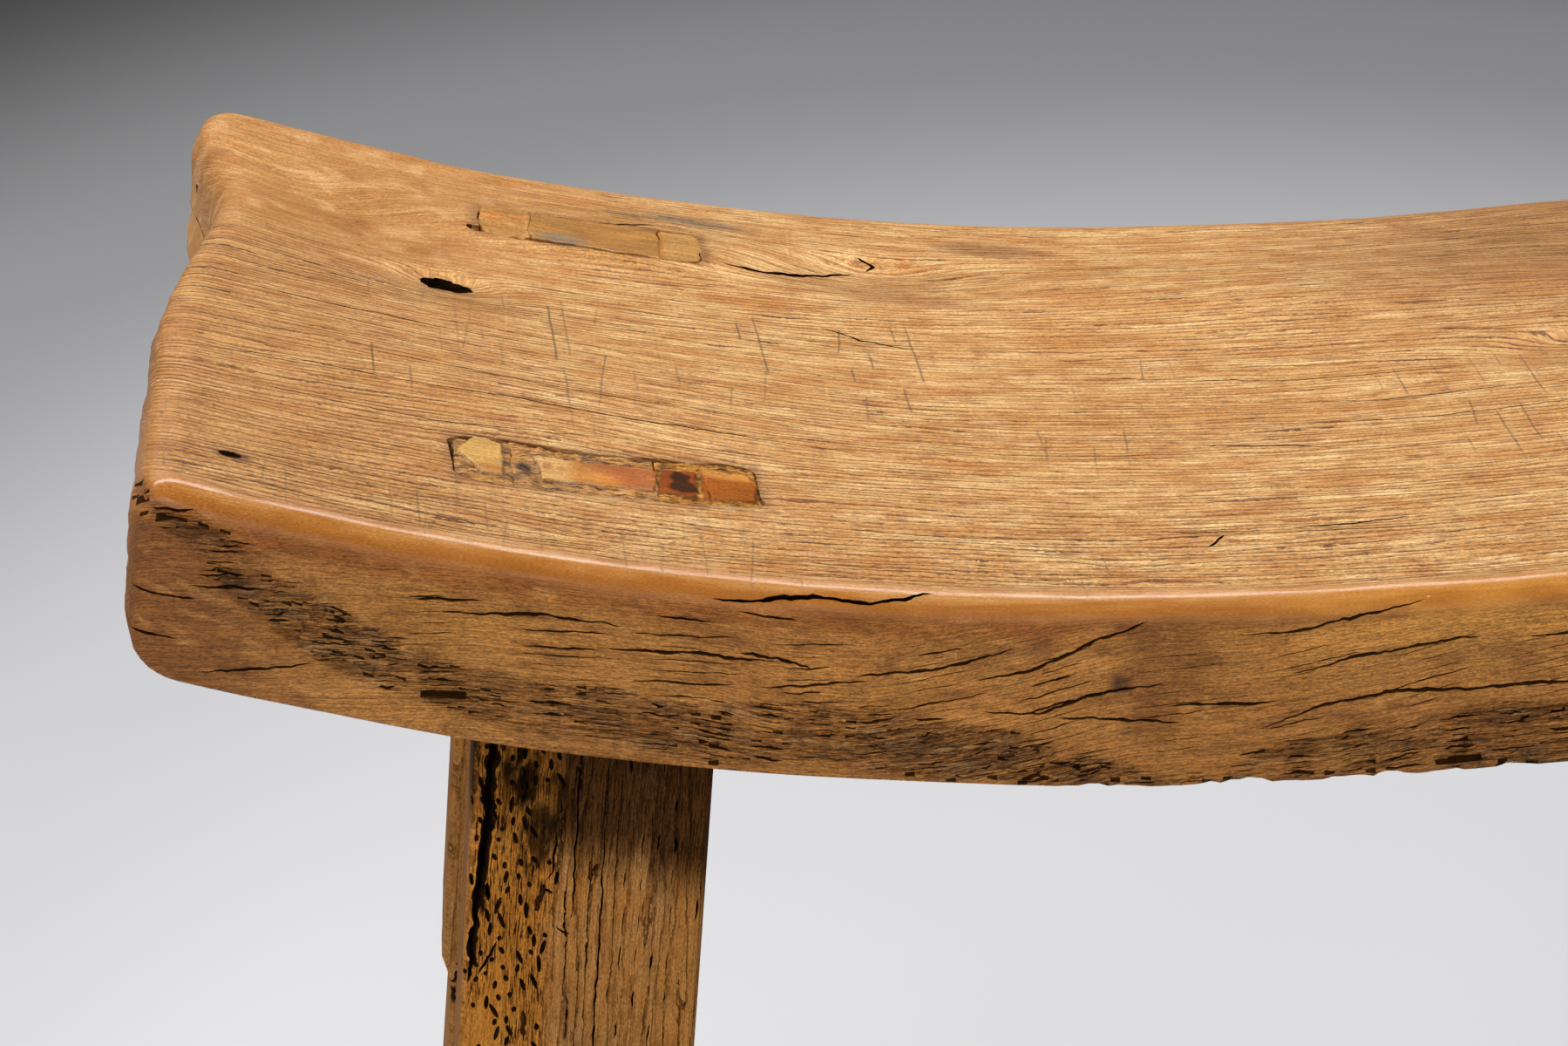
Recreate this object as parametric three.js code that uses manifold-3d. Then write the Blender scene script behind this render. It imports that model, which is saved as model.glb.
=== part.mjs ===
// A country stool with a saddle seat, put together with wedged and pegged mortise and tenon joints.
//
// One thick elm plank, hewn and worn to a long dip, sits on four splayed legs. Each leg ends in a
// shoulder that follows the plank's curved underside and in a tenon that comes right through the
// plank. The slot for it is longer than the tenon and flares upwards, so a tapered wedge driven in
// at each end locks the leg. Four rails tie the legs together below, each with a through tenon at
// both ends and a peg across each of them.
//
// Lengths are in millimetres. +Z is up, X runs along the seat and Y across it, with the front at -Y.
// The origin is on the floor under the middle of the seat.

import * as THREE from "three";
import { mergeVertices } from "three/addons/utils/BufferGeometryUtils.js";
import Module from "manifold-3d";

const wasm = await Module();
wasm.setup();

// Seat plank
const seatLength = 560;
const seatDepth = 250;
const seatThickness = 50;
const sittingHeight = 460; // floor to the lowest point of the seat's top
const lowPointOffset = 19; // how far that point lies from the middle, towards the left end
const leftEndRise = 43; // how far the ends stand above that point
const rightEndRise = 34;
const seatCrown = 4.5; // how far the long edges fall below the middle of the plank's width
const seatTwist = 3; // how far the plank's corners are out of flat
const endLean = 6; // how much further an end reaches at the bottom than at the top
const topArris = 8;
const bottomArris = 4;
const endTopRadius = 12;
const endBottomRadius = 14;
const cornerRadius = 8;

// Legs
const legWidth = 58.5;
const legDepth = 44;
const legArris = 3;
const legEndInset = 110; // from the seat's end to the leg's axis, on the top of the seat
const legEdgeInset = 46.5; // from the seat's long edge to the leg's axis, on the top of the seat
const splayAlong = 4.6; // degrees outwards along the seat
const splayAcross = 7; // degrees outwards across the seat

// The worn outer face of the rear left leg
const wearDepth = 3.2;
const wearStartLevel = 240; // floor to the top of the worn stretch
const wearShoulder = 10; // length of its rounded start

// Joints between the legs and the seat
const tenonWidth = 35;
const tenonDepth = 21;
const outerWedgeHead = 13.5; // thickness of a wedge at the seat's top
const innerWedgeHead = 11.5;
const wedgeTaper = 0.1; // thickness that a wedge loses over its length, as a share of it
const wedgeAboveShoulder = 6;
const patchLength = 13; // the block let in beside the front left leg's inner wedge
const patchDepth = 14;

// Hand-cut joints that are off their legs' axes
const frontLeftTenonOffset = 5.5; // towards the stool's end
const frontLeftTenonSetBack = 2.5; // towards the stool's middle, across the seat
const frontLeftTenonTurn = 4.5; // degrees, its inner end towards the stool's middle
const rearLeftTenonOffset = -1.4;

// Rails between the legs
const railThickness = 24;
const railHeight = 34;
const railArris = 3;
const railTenonThickness = 12;
const railTenonHeight = 24;
const longRailLevel = 120; // floor to the middle of the two rails along the stool
const sideRailRise = 58; // how far the two rails across the ends lie above them
const pegRadius = 3.2;
const pegTipRadius = 2.7;
const pegPastTenon = 8;
const pegStandsProud = 0.6;

// Between any two pieces that touch
const jointGap = 0.3;

// How finely the curves are stepped
const seatSteps = 40;
const crownSteps = 10;
const arrisSteps = 4;
const pegSides = 12;

const halfLength = seatLength / 2;
const halfDepth = seatDepth / 2;
const clearOfSeat = seatThickness; // how far cutters reach past the seat's top
const beyond = seatLength; // a length that clears every piece, for cutters

const elm = new THREE.MeshStandardMaterial({ color: 0xb07c42, roughness: 0.6, metalness: 0 });
const darkElm = new THREE.MeshStandardMaterial({ color: 0x8c6236, roughness: 0.7, metalness: 0 });
const paleWood = new THREE.MeshStandardMaterial({ color: 0xb8924f, roughness: 0.6, metalness: 0 });
const redWood = new THREE.MeshStandardMaterial({ color: 0xa4652b, roughness: 0.5, metalness: 0 });

// Solids

/** A closed geometry as a solid that can be joined and cut. */
function toSolid(geometry) {
  const loose = geometry.index ? geometry.toNonIndexed() : geometry;
  const bare = new THREE.BufferGeometry();
  bare.setAttribute("position", loose.getAttribute("position"));
  const merged = mergeVertices(bare, 1e-4);
  const vertProperties = merged.attributes.position.array;
  const triVerts = new Uint32Array(merged.index.array);
  return new wasm.Manifold(new wasm.Mesh({ numProp: 3, vertProperties, triVerts }));
}

/** A solid as a geometry with flat faces. */
function toGeometry(solid) {
  const mesh = solid.getMesh();
  const indexed = new THREE.BufferGeometry();
  indexed.setAttribute("position", new THREE.BufferAttribute(mesh.vertProperties, 3));
  indexed.setIndex(new THREE.BufferAttribute(mesh.triVerts, 1));
  const geometry = indexed.toNonIndexed();
  geometry.computeVertexNormals();
  return geometry;
}

/** A solid carried from one frame into another. */
const moved = (solid, matrix) => solid.transform(matrix.elements);

/** A box between two corners. */
function box(low, high) {
  const size = high.map((value, axis) => value - low[axis]);
  const geometry = new THREE.BoxGeometry(...size);
  geometry.translate(...low.map((value, axis) => value + size[axis] / 2));
  return toSolid(geometry);
}

/** A bar of rounded rectangular section that runs along Z between two levels. */
function bar(width, depth, arris, low, high) {
  const shape = new THREE.Shape();
  const corners = [
    [width / 2 - arris, depth / 2 - arris],
    [arris - width / 2, depth / 2 - arris],
    [arris - width / 2, arris - depth / 2],
    [width / 2 - arris, arris - depth / 2],
  ];
  corners.forEach(([x, y], quarter) => {
    const start = (quarter * Math.PI) / 2;
    shape.absarc(x, y, arris, start, start + Math.PI / 2, false);
  });
  const options = { depth: high - low, bevelEnabled: false, curveSegments: 2 };
  return toSolid(new THREE.ExtrudeGeometry(shape, options).translate(0, 0, low));
}

/** A prism whose outline lies in the X-Z plane and which reaches equally far to both sides in Y. */
function prism(outline, depth) {
  const shape = new THREE.Shape(outline.map(([x, z]) => new THREE.Vector2(x, z)));
  const geometry = new THREE.ExtrudeGeometry(shape, { depth, bevelEnabled: false });
  return toSolid(geometry.translate(0, 0, -depth / 2).rotateX(Math.PI / 2));
}

/** A closed skin over rings of points that all have the same count, with a fan at each end. */
function loft(rings) {
  const positions = rings.flat(2);
  const count = rings[0].length;
  const index = [];
  for (let ring = 0; ring + 1 < rings.length; ring++) {
    for (let i = 0; i < count; i++) {
      const a = ring * count + i;
      const b = ring * count + ((i + 1) % count);
      index.push(a, b, b + count, a, b + count, a + count);
    }
  }
  const middle = (ring) => [0, 1, 2].map((k) => ring.reduce((sum, p) => sum + p[k], 0) / count);
  const first = positions.length / 3;
  positions.push(...middle(rings[0]), ...middle(rings.at(-1)));
  const last = (rings.length - 1) * count;
  for (let i = 0; i < count; i++) {
    const next = (i + 1) % count;
    index.push(first, next, i, first + 1, last + i, last + next);
  }
  const geometry = new THREE.BufferGeometry();
  geometry.setAttribute("position", new THREE.Float32BufferAttribute(positions, 3));
  geometry.setIndex(index);
  return toSolid(geometry);
}

// Seat plank

/** Height over the lowest point of an arc that reaches a rise at the end of its run. */
function arcHeight(run, rise, distance) {
  const radius = (run ** 2 + rise ** 2) / (2 * rise);
  return radius - Math.sqrt(radius ** 2 - distance ** 2);
}

/** Height of the seat's top, before its ends and edges are rounded. */
function seatTop(x, y) {
  const fromLow = x + lowPointOffset;
  const dip =
    fromLow < 0
      ? arcHeight(halfLength - lowPointOffset, leftEndRise, fromLow)
      : arcHeight(halfLength + lowPointOffset, rightEndRise, fromLow);
  const across = y / halfDepth;
  return sittingHeight + dip - seatCrown * across ** 2 - seatTwist * (x / halfLength) * across;
}

/** How much longer the plank is at some depth under its top, as a factor. */
const stretchAt = (below) => 1 + (endLean / halfLength) * (below / seatThickness);

/** A point of the plank at some depth under its top. */
const inSeat = (x, y, below) => [x * stretchAt(below), y, seatTop(x, y) - below];

/** How far a quarter round of this radius has fallen away at this distance from its end. */
function roundedOff(radius, distance) {
  const inside = Math.max(0, radius - distance);
  return radius - Math.sqrt(radius ** 2 - inside ** 2);
}

/** Positions along the seat: close together in its rounded ends and even between them. */
function seatStations() {
  const round = Math.max(endTopRadius, endBottomRadius, cornerRadius);
  const ends = Array.from({ length: arrisSteps + 1 }, (_, i) => {
    const angle = ((i / (arrisSteps + 1)) * Math.PI) / 2;
    return round * (1 - Math.cos(angle)) - halfLength;
  });
  const inner = halfLength - round;
  const even = Array.from({ length: seatSteps + 1 }, (_, i) => inner * ((2 * i) / seatSteps - 1));
  return [...ends, ...even, ...ends.map((x) => -x).reverse()];
}

/** The plank's section at one place along its length: a rounded, slightly crowned rectangle. */
function seatSection(x) {
  const toEnd = halfLength - Math.abs(x);
  const half = halfDepth - roundedOff(cornerRadius, toEnd);
  const top = roundedOff(endTopRadius, toEnd);
  const bottom = seatThickness - roundedOff(endBottomRadius, toEnd);
  const corners = [
    { y: half - topArris, below: top + topArris, radius: topArris, start: 0 },
    { y: topArris - half, below: top + topArris, radius: topArris, start: Math.PI / 2 },
    { y: bottomArris - half, below: bottom - bottomArris, radius: bottomArris, start: Math.PI },
    { y: half - bottomArris, below: bottom - bottomArris, radius: bottomArris, start: 1.5 * Math.PI },
  ];
  const stepsAfter = [crownSteps, 1, crownSteps, 1];
  const onCorner = ({ y, below, radius }, angle) => [
    y + radius * Math.cos(angle),
    below - radius * Math.sin(angle),
  ];
  const points = [];
  corners.forEach((corner, i) => {
    for (let step = 0; step <= arrisSteps; step++) {
      points.push(onCorner(corner, corner.start + ((step / arrisSteps) * Math.PI) / 2));
    }
    const from = points.at(-1);
    const next = corners[(i + 1) % corners.length];
    const to = onCorner(next, next.start);
    for (let step = 1; step < stepsAfter[i]; step++) {
      points.push(from.map((value, k) => value + ((to[k] - value) * step) / stepsAfter[i]));
    }
  });
  return points.map(([y, below]) => inSeat(x, y, below));
}

/** Everything above a surface that follows the seat's top at a set depth under it. */
function spaceAbove(below) {
  const ceiling = sittingHeight + Math.max(leftEndRise, rightEndRise) + 2 * clearOfSeat;
  const across = Array.from({ length: crownSteps + 1 }, (_, i) => (2 * i) / crownSteps - 1);
  const rings = seatStations().map((x) => {
    const floor = across.map((share) => inSeat(x, share * halfDepth, below));
    const level = floor[0][0];
    return [...floor, [level, halfDepth, ceiling], [level, -halfDepth, ceiling]];
  });
  return loft(rings);
}

const aboveSeatTop = spaceAbove(0);
const aboveShoulder = spaceAbove(seatThickness + jointGap);
const underFloor = box([-beyond, -beyond, -beyond], [beyond, beyond, 0]);

// Legs

const alongSlope = Math.tan(THREE.MathUtils.degToRad(splayAlong));
const acrossSlope = Math.tan(THREE.MathUtils.degToRad(splayAcross));

/**
 * A leg's own frame. Its origin is where the leg's axis meets the seat's top, its Z runs up the
 * leg, and its X and Y face along and across the seat as nearly as the splay lets them.
 */
function legFrame({ end, side }) {
  const x = end * (halfLength - legEndInset);
  const y = side * (halfDepth - legEdgeInset);
  const up = new THREE.Vector3(-end * alongSlope, -side * acrossSlope, 1).normalize();
  const along = new THREE.Vector3(0, 1, 0).cross(up).normalize();
  const across = up.clone().cross(along);
  return new THREE.Matrix4().makeBasis(along, across, up).setPosition(x, y, seatTop(x, y));
}

/** The frame of the joint on top of a leg, in the leg's own: its tenon is centred and squared on it. */
function jointInLeg({ end, side, tenonOffset = 0, tenonSetBack = 0, tenonTurn = 0 }) {
  const turn = end * side * THREE.MathUtils.degToRad(tenonTurn);
  return new THREE.Matrix4()
    .makeRotationZ(turn)
    .setPosition(end * tenonOffset, -side * tenonSetBack, 0);
}

const corners = [
  {
    name: "front_left",
    end: -1,
    side: -1,
    tenonOffset: frontLeftTenonOffset,
    tenonSetBack: frontLeftTenonSetBack,
    tenonTurn: frontLeftTenonTurn,
  },
  { name: "front_right", end: 1, side: -1 },
  { name: "rear_left", end: -1, side: 1, tenonOffset: rearLeftTenonOffset, wear: wearDepth },
  { name: "rear_right", end: 1, side: 1 },
];

/** One corner's leg with its frame, and with the frame of its joint in the leg and in the stool. */
function makeLeg(corner) {
  const frame = legFrame(corner);
  const inLeg = jointInLeg(corner);
  return { wear: 0, ...corner, frame, inLeg, joint: frame.clone().multiply(inLeg) };
}

const legs = new Map(corners.map((corner) => [corner.name, makeLeg(corner)]));

const upOf = (frame) => new THREE.Vector3().setFromMatrixColumn(frame, 2);

/** A level above the floor as a height in the leg's own frame, on its axis. */
const heightOnLeg = ({ frame }, level) => (level - frame.elements[14]) / upOf(frame).z;

/** The place on a leg's axis at a level above the floor, in the stool's frame. */
function pointOnLeg(leg, level) {
  return new THREE.Vector3(0, 0, heightOnLeg(leg, level)).applyMatrix4(leg.frame);
}

/** How far a leg's outer face stands from its axis. */
const outerFace = (leg, axis) => (axis === "x" ? legWidth / 2 - leg.wear : legDepth / 2);

/** The height of a leg's shoulder in its joint's frame, at a place along the joint. */
function shoulderHeight(leg, x) {
  const below = seatThickness + jointGap;
  const point = new THREE.Vector3(x, 0, -below);
  for (let pass = 0; pass < 4; pass++) {
    const at = point.clone().applyMatrix4(leg.joint);
    point.z += seatTop(at.x / stretchAt(below), at.y) - below - at.z;
  }
  return point.z;
}

const wedgeInside = tenonWidth / 2 + jointGap;

/** The thickness of a wedge at a height in the leg's frame, which is 0 at the seat's top. */
const wedgeThickness = (head, height) => head + wedgeTaper * height;

/** The flared slot through the seat for a tenon and its two wedges, in the joint's frame. */
function seatMortise({ end }) {
  const heads = [outerWedgeHead, innerWedgeHead];
  const wall = (side, height) => wedgeInside + wedgeThickness(heads[side], height) + jointGap;
  const under = -2 * seatThickness;
  const outline = [
    [wall(0, clearOfSeat), clearOfSeat],
    [-wall(1, clearOfSeat), clearOfSeat],
    [-wall(1, under), under],
    [wall(0, under), under],
  ].map(([x, z]) => [end * x, z]);
  return prism(outline, tenonDepth + 2 * jointGap);
}

/** One tapered wedge beside a tenon, in the joint's frame. towards is 1 or -1 along X. */
function seatWedge(leg, head, towards) {
  const outside = (height) => wedgeInside + wedgeThickness(head, height);
  const shoulders = [wedgeInside, outside(0)].map((x) => shoulderHeight(leg, towards * x));
  const tip = Math.max(...shoulders) + wedgeAboveShoulder;
  const outline = [
    [wedgeInside, tip],
    [outside(tip), tip],
    [outside(clearOfSeat), clearOfSeat],
    [wedgeInside, clearOfSeat],
  ].map(([x, z]) => [towards * x, z]);
  return prism(outline, tenonDepth);
}

/** The block let into the seat beside an inner wedge, in the joint's frame, grown by a margin. */
function patchBlock({ end }, margin) {
  const inside = (height) => {
    return wedgeInside + wedgeThickness(innerWedgeHead, height) + jointGap - margin;
  };
  const outside = inside(0) + patchLength + 2 * margin;
  const bottom = -patchDepth - margin;
  const outline = [
    [inside(bottom), bottom],
    [outside, bottom],
    [outside, clearOfSeat],
    [inside(clearOfSeat), clearOfSeat],
  ].map(([x, z]) => [-end * x, z]);
  return prism(outline, tenonDepth + 2 * margin);
}

/** What wear has taken off the outer face of a leg, in the leg's frame. */
function legWear(leg) {
  const top = heightOnLeg(leg, wearStartLevel);
  const face = legWidth / 2;
  const quarter = Array.from({ length: arrisSteps + 1 }, (_, i) => {
    const angle = ((i / arrisSteps) * Math.PI) / 2;
    return [face - leg.wear * Math.sin(angle), top - wearShoulder * (1 - Math.cos(angle))];
  });
  const outline = [
    [face + leg.wear, top],
    ...quarter,
    [face - leg.wear, -beyond],
    [face + leg.wear, -beyond],
  ].map(([x, z]) => [leg.end * x, z]);
  return prism(outline, 2 * legDepth);
}

// Rails

/**
 * A rail between two legs. Its Z runs from leg to leg, its X is its thickness and its Y its
 * height, which leans with the legs. Its tenons pass the legs along axis, x or y of their frames.
 */
function makeRail(name, ends, axis, level) {
  const [from, to] = ends.map((end) => legs.get(end));
  const start = pointOnLeg(from, level);
  const finish = pointOnLeg(to, level);
  const along = finish.clone().sub(start).normalize();
  const lean = upOf(from.frame).add(upOf(to.frame));
  const height = lean.addScaledVector(along, -lean.dot(along)).normalize();
  const frame = new THREE.Matrix4().makeBasis(height.clone().cross(along), height, along);
  return { name, axis, level, legs: [from, to], frame: frame.setPosition(start.lerp(finish, 0.5)) };
}

const sideRailLevel = longRailLevel + sideRailRise;
const rails = [
  makeRail("left_side_rail", ["front_left", "rear_left"], "y", sideRailLevel),
  makeRail("right_side_rail", ["front_right", "rear_right"], "y", sideRailLevel),
  makeRail("front_rail", ["front_left", "front_right"], "x", longRailLevel),
  makeRail("rear_rail", ["rear_left", "rear_right"], "x", longRailLevel),
];

/** The tenons of a rail, in its frame, as one bar grown by a margin and not yet cut to length. */
function railTenons(margin) {
  const x = railTenonThickness / 2 + margin;
  const y = railTenonHeight / 2 + margin;
  return box([-x, -y, -beyond], [x, y, beyond]);
}

/** Everything past a plane across a leg's frame, on the side away from the stool's middle. */
function pastPlane(axis, outward, distance) {
  const low = [-beyond, -beyond, -2 * beyond];
  const high = [beyond, beyond, beyond];
  const k = axis === "x" ? 0 : 1;
  if (outward > 0) low[k] = distance;
  else high[k] = -distance;
  return box(low, high);
}

/** The way out of the stool along an axis of a leg's frame. */
const outwardOf = (leg, axis) => (axis === "x" ? leg.end : leg.side);

/**
 * A peg through a rail's tenon, in the leg's frame, grown by a margin. It is driven in square to
 * the tenon from the leg's outer face and stops short of the far one.
 */
function peg(rail, leg, margin) {
  const axis = rail.axis === "x" ? "y" : "x";
  const face = outerFace(leg, axis);
  const length = face + railTenonThickness / 2 + pegPastTenon + pegStandsProud + margin;
  const geometry = new THREE.CylinderGeometry(
    pegRadius + margin,
    pegTipRadius + margin,
    length,
    pegSides,
  );
  geometry.translate(0, face + pegStandsProud - length / 2, 0);
  const turn = axis === "x" ? -Math.PI / 2 : 0;
  geometry.rotateZ(outwardOf(leg, axis) > 0 ? turn : turn + Math.PI);
  return toSolid(geometry.translate(0, 0, heightOnLeg(leg, rail.level)));
}

/** One rail with a shouldered tenon at each end, in its own frame. */
function railSolid(rail) {
  const fromStool = rail.frame.clone().invert();
  let body = bar(railThickness, railHeight, railArris, -beyond, beyond);
  let tenons = railTenons(0);
  for (const leg of rail.legs) {
    const outward = outwardOf(leg, rail.axis);
    const innerFace = (rail.axis === "x" ? legWidth : legDepth) / 2;
    const legToRail = fromStool.clone().multiply(leg.frame);
    const shoulder = pastPlane(rail.axis, outward, -innerFace - jointGap);
    body = body.subtract(moved(shoulder, legToRail));
    tenons = tenons.subtract(moved(pastPlane(rail.axis, outward, outerFace(leg, rail.axis)), legToRail));
  }
  return rail.legs.reduce((solid, leg) => {
    const hole = peg(rail, leg, jointGap);
    return solid.subtract(moved(hole, fromStool.clone().multiply(leg.frame)));
  }, body.add(tenons));
}

/** One leg with its shoulder, tenon, rail mortises and peg holes, in its own frame. */
function legSolid(leg) {
  const fromStool = leg.frame.clone().invert();
  const foot = heightOnLeg(leg, 0) - legDepth;
  const shaft = bar(legWidth, legDepth, legArris, foot, 0)
    .subtract(moved(aboveShoulder, fromStool))
    .subtract(moved(underFloor, fromStool));
  const x = tenonWidth / 2;
  const y = tenonDepth / 2;
  const tenon = moved(box([-x, -y, -2 * seatThickness], [x, y, clearOfSeat]), leg.inLeg);
  let solid = shaft.add(tenon.subtract(moved(aboveSeatTop, fromStool)));
  for (const rail of rails.filter((each) => each.legs.includes(leg))) {
    const railToLeg = fromStool.clone().multiply(rail.frame);
    solid = solid.subtract(moved(railTenons(jointGap), railToLeg)).subtract(peg(rail, leg, jointGap));
  }
  return leg.wear ? solid.subtract(legWear(leg)) : solid;
}

// The assembly

const stool = new THREE.Group();

/** Adds a piece that was made in its parent's frame. */
function addPiece(parent, name, solid, material) {
  const mesh = new THREE.Mesh(toGeometry(solid), material);
  mesh.name = name;
  parent.add(mesh);
}

/** Adds an empty group with a frame of its own. */
function addGroup(parent, frame) {
  const group = new THREE.Group();
  group.applyMatrix4(frame);
  parent.add(group);
  return group;
}

const patched = legs.get("front_left");

let plank = loft(seatStations().map(seatSection));

for (const leg of legs.values()) {
  const topInJoint = moved(aboveSeatTop, leg.joint.clone().invert());
  const legGroup = addGroup(stool, leg.frame);
  const joint = addGroup(legGroup, leg.inLeg);
  plank = plank.subtract(moved(seatMortise(leg), leg.joint));
  addPiece(legGroup, `leg_${leg.name}`, legSolid(leg), darkElm);
  const outer = seatWedge(leg, outerWedgeHead, leg.end).subtract(topInJoint);
  addPiece(joint, `outer_wedge_${leg.name}`, outer, paleWood);
  const inner = seatWedge(leg, innerWedgeHead, -leg.end).subtract(topInJoint);
  addPiece(joint, `inner_wedge_${leg.name}`, inner, redWood);
  if (leg === patched) {
    plank = plank.subtract(moved(patchBlock(leg, jointGap), leg.joint));
    addPiece(joint, `seat_patch_${leg.name}`, patchBlock(leg, 0).subtract(topInJoint), redWood);
  }
  for (const rail of rails.filter((each) => each.legs.includes(leg))) {
    addPiece(legGroup, `peg_${leg.name}_${rail.name}`, peg(rail, leg, 0), paleWood);
  }
}

addPiece(stool, "seat_plank", plank, elm);
for (const rail of rails) addPiece(addGroup(stool, rail.frame), rail.name, railSolid(rail), darkElm);

export default stool;
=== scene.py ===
"""An old country stool: a saddle seat of one elm plank on four splayed legs with wedged tenons.

Shapes are worked out in millimetres and turned to metres when a mesh is made. X runs along the
seat, Y across it with the front at -Y, and Z is up from the floor.
"""

import itertools
import logging
import math
from dataclasses import dataclass
from enum import Enum
from typing import Callable

import bpy
import bmesh
import numpy as np
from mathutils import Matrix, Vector
from mathutils.bvhtree import BVHTree


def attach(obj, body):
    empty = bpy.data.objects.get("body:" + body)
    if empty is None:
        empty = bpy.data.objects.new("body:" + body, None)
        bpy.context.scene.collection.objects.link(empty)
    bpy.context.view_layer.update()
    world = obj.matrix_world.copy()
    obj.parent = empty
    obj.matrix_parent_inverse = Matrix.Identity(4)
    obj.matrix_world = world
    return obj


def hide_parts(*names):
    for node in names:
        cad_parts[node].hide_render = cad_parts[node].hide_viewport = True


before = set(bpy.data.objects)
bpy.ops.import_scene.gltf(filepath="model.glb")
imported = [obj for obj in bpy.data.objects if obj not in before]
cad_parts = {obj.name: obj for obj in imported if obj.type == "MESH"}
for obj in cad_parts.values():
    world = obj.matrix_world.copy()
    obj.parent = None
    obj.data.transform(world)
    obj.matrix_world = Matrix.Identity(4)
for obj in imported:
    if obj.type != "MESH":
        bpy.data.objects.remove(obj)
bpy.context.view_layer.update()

LOG = logging.getLogger("stool")
MM = 0.001
JOINT_GAP = 0.3

Array = np.ndarray
Solid = tuple[Array, list]
Lift = Callable[[Array, Array, Array], Array]


# Numbers


def smooth(low: float, high: float, value: Array) -> Array:
    """Goes from 0 at low to 1 at high, level at both."""
    share = np.clip((value - low) / (high - low), 0.0, 1.0)
    return share * share * (3.0 - 2.0 * share)


def hashed(seed: int, *cells: Array) -> Array:
    """A number from 0 to 1 for each cell of a grid, the same for the same seed.

    Args:
        seed: picks the random draw.
        cells: whole numbers that name the cells.

    Returns:
        An array of numbers from 0 to 1.
    """
    mixed = np.full(np.shape(cells[0]), seed * 0x2545F491 + 0x1234567, dtype=np.uint64)
    primes = (0x9E3779B97F4A7C15, 0xC2B2AE3D27D4EB4F, 0x165667B19E3779F9)
    for cell, prime in zip(cells, primes):
        mixed ^= np.floor(cell).astype(np.int64).astype(np.uint64) * np.uint64(prime)
        mixed ^= mixed >> np.uint64(29)
        mixed *= np.uint64(0xBF58476D1CE4E5B9)
    mixed ^= mixed >> np.uint64(32)
    return (mixed & np.uint64(0xFFFF)).astype(float) / 65535.0


def noise(seed: int, *coords: Array) -> Array:
    """Smooth noise between -1 and 1.

    Args:
        seed: picks the pattern.
        coords: one array for each dimension, with about one bump to a unit.

    Returns:
        The noise at each place.
    """
    cells = [np.floor(c) for c in coords]
    shares = [(c - cell) ** 2 * (3.0 - 2.0 * (c - cell)) for c, cell in zip(coords, cells)]
    total = np.zeros(np.shape(coords[0]))
    for steps in itertools.product((0, 1), repeat=len(coords)):
        weight = np.ones(total.shape)
        for share, step in zip(shares, steps):
            weight *= share if step else 1.0 - share
        total += weight * hashed(seed, *(cell + step for cell, step in zip(cells, steps)))
    return 2.0 * total - 1.0


def layered(seed: int, *coords: Array) -> Array:
    """Three layers of noise, each twice as fine and half as strong as the one before."""
    layers = (noise(seed + k, *(c * 2**k for c in coords)) / 2**k for k in range(3))
    return sum(layers) / 1.75


def fallen(radius: float, distance: Array) -> Array:
    """How far a quarter round has fallen away at a distance from its end."""
    inside = np.clip(radius - distance, 0.0, radius)
    return radius - np.sqrt(radius**2 - inside**2)


# Marks on a surface. Each is in millimetres on a flat map of the surface, u by v.


@dataclass(frozen=True)
class Crack:
    """An open check in the wood, cut as a thin jagged wedge."""

    path: tuple[tuple[float, float], ...]
    width: float = 0.75
    depth: float = 4.6

    def solid(self, lift: Lift, seed: int) -> Solid:
        """The wedge that cuts the crack.

        Args:
            lift: gives the places of points on the map at heights over the surface.
            seed: picks how it wanders.

        Returns:
            Its points and faces.
        """
        points = np.array(self.path, float)
        run = np.concatenate([[0.0], np.cumsum(np.linalg.norm(np.diff(points, axis=0), axis=1))])
        count = max(5, int(run[-1] / (1.3 if run[-1] > 12 else 0.9)))
        t = np.linspace(0.0, run[-1], count)
        u, v = np.interp(t, run, points[:, 0]), np.interp(t, run, points[:, 1])
        du, dv = np.gradient(u), np.gradient(v)
        nu, nv = -dv / np.hypot(du, dv), du / np.hypot(du, dv)
        share = t / run[-1]
        taper = np.clip(4.0 * share * (1.0 - share), 0.0, 1.0) ** 0.5
        jog = math.sqrt(self.width) * (0.3 * noise(seed, t / 3.1) + 0.2 * noise(seed + 1, t / 1.1))
        u, v = u + nu * jog, v + nv * jog
        half = 0.52 * self.width * (0.06 + 0.94 * taper) * (1.0 + 0.4 * noise(seed + 2, t / 2.2))
        deep = self.depth * (0.3 + 0.7 * taper)
        rise = np.full(count, 1.6)
        wide = half * (1.0 + rise / deep)
        ring = np.stack(
            [
                lift(u - nu * wide, v - nv * wide, rise),
                lift(u, v, -deep),
                lift(u + nu * wide, v + nv * wide, rise),
            ],
            axis=1,
        )
        faces = [[0, 1, 2], [3 * count - 1, 3 * count - 2, 3 * count - 3]]
        for i, k in itertools.product(range(count - 1), range(3)):
            following = (k + 1) % 3
            faces.append([3 * i + k, 3 * i + following, 3 * i + 3 + following, 3 * i + 3 + k])
        return ring.reshape(-1, 3), faces


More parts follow.
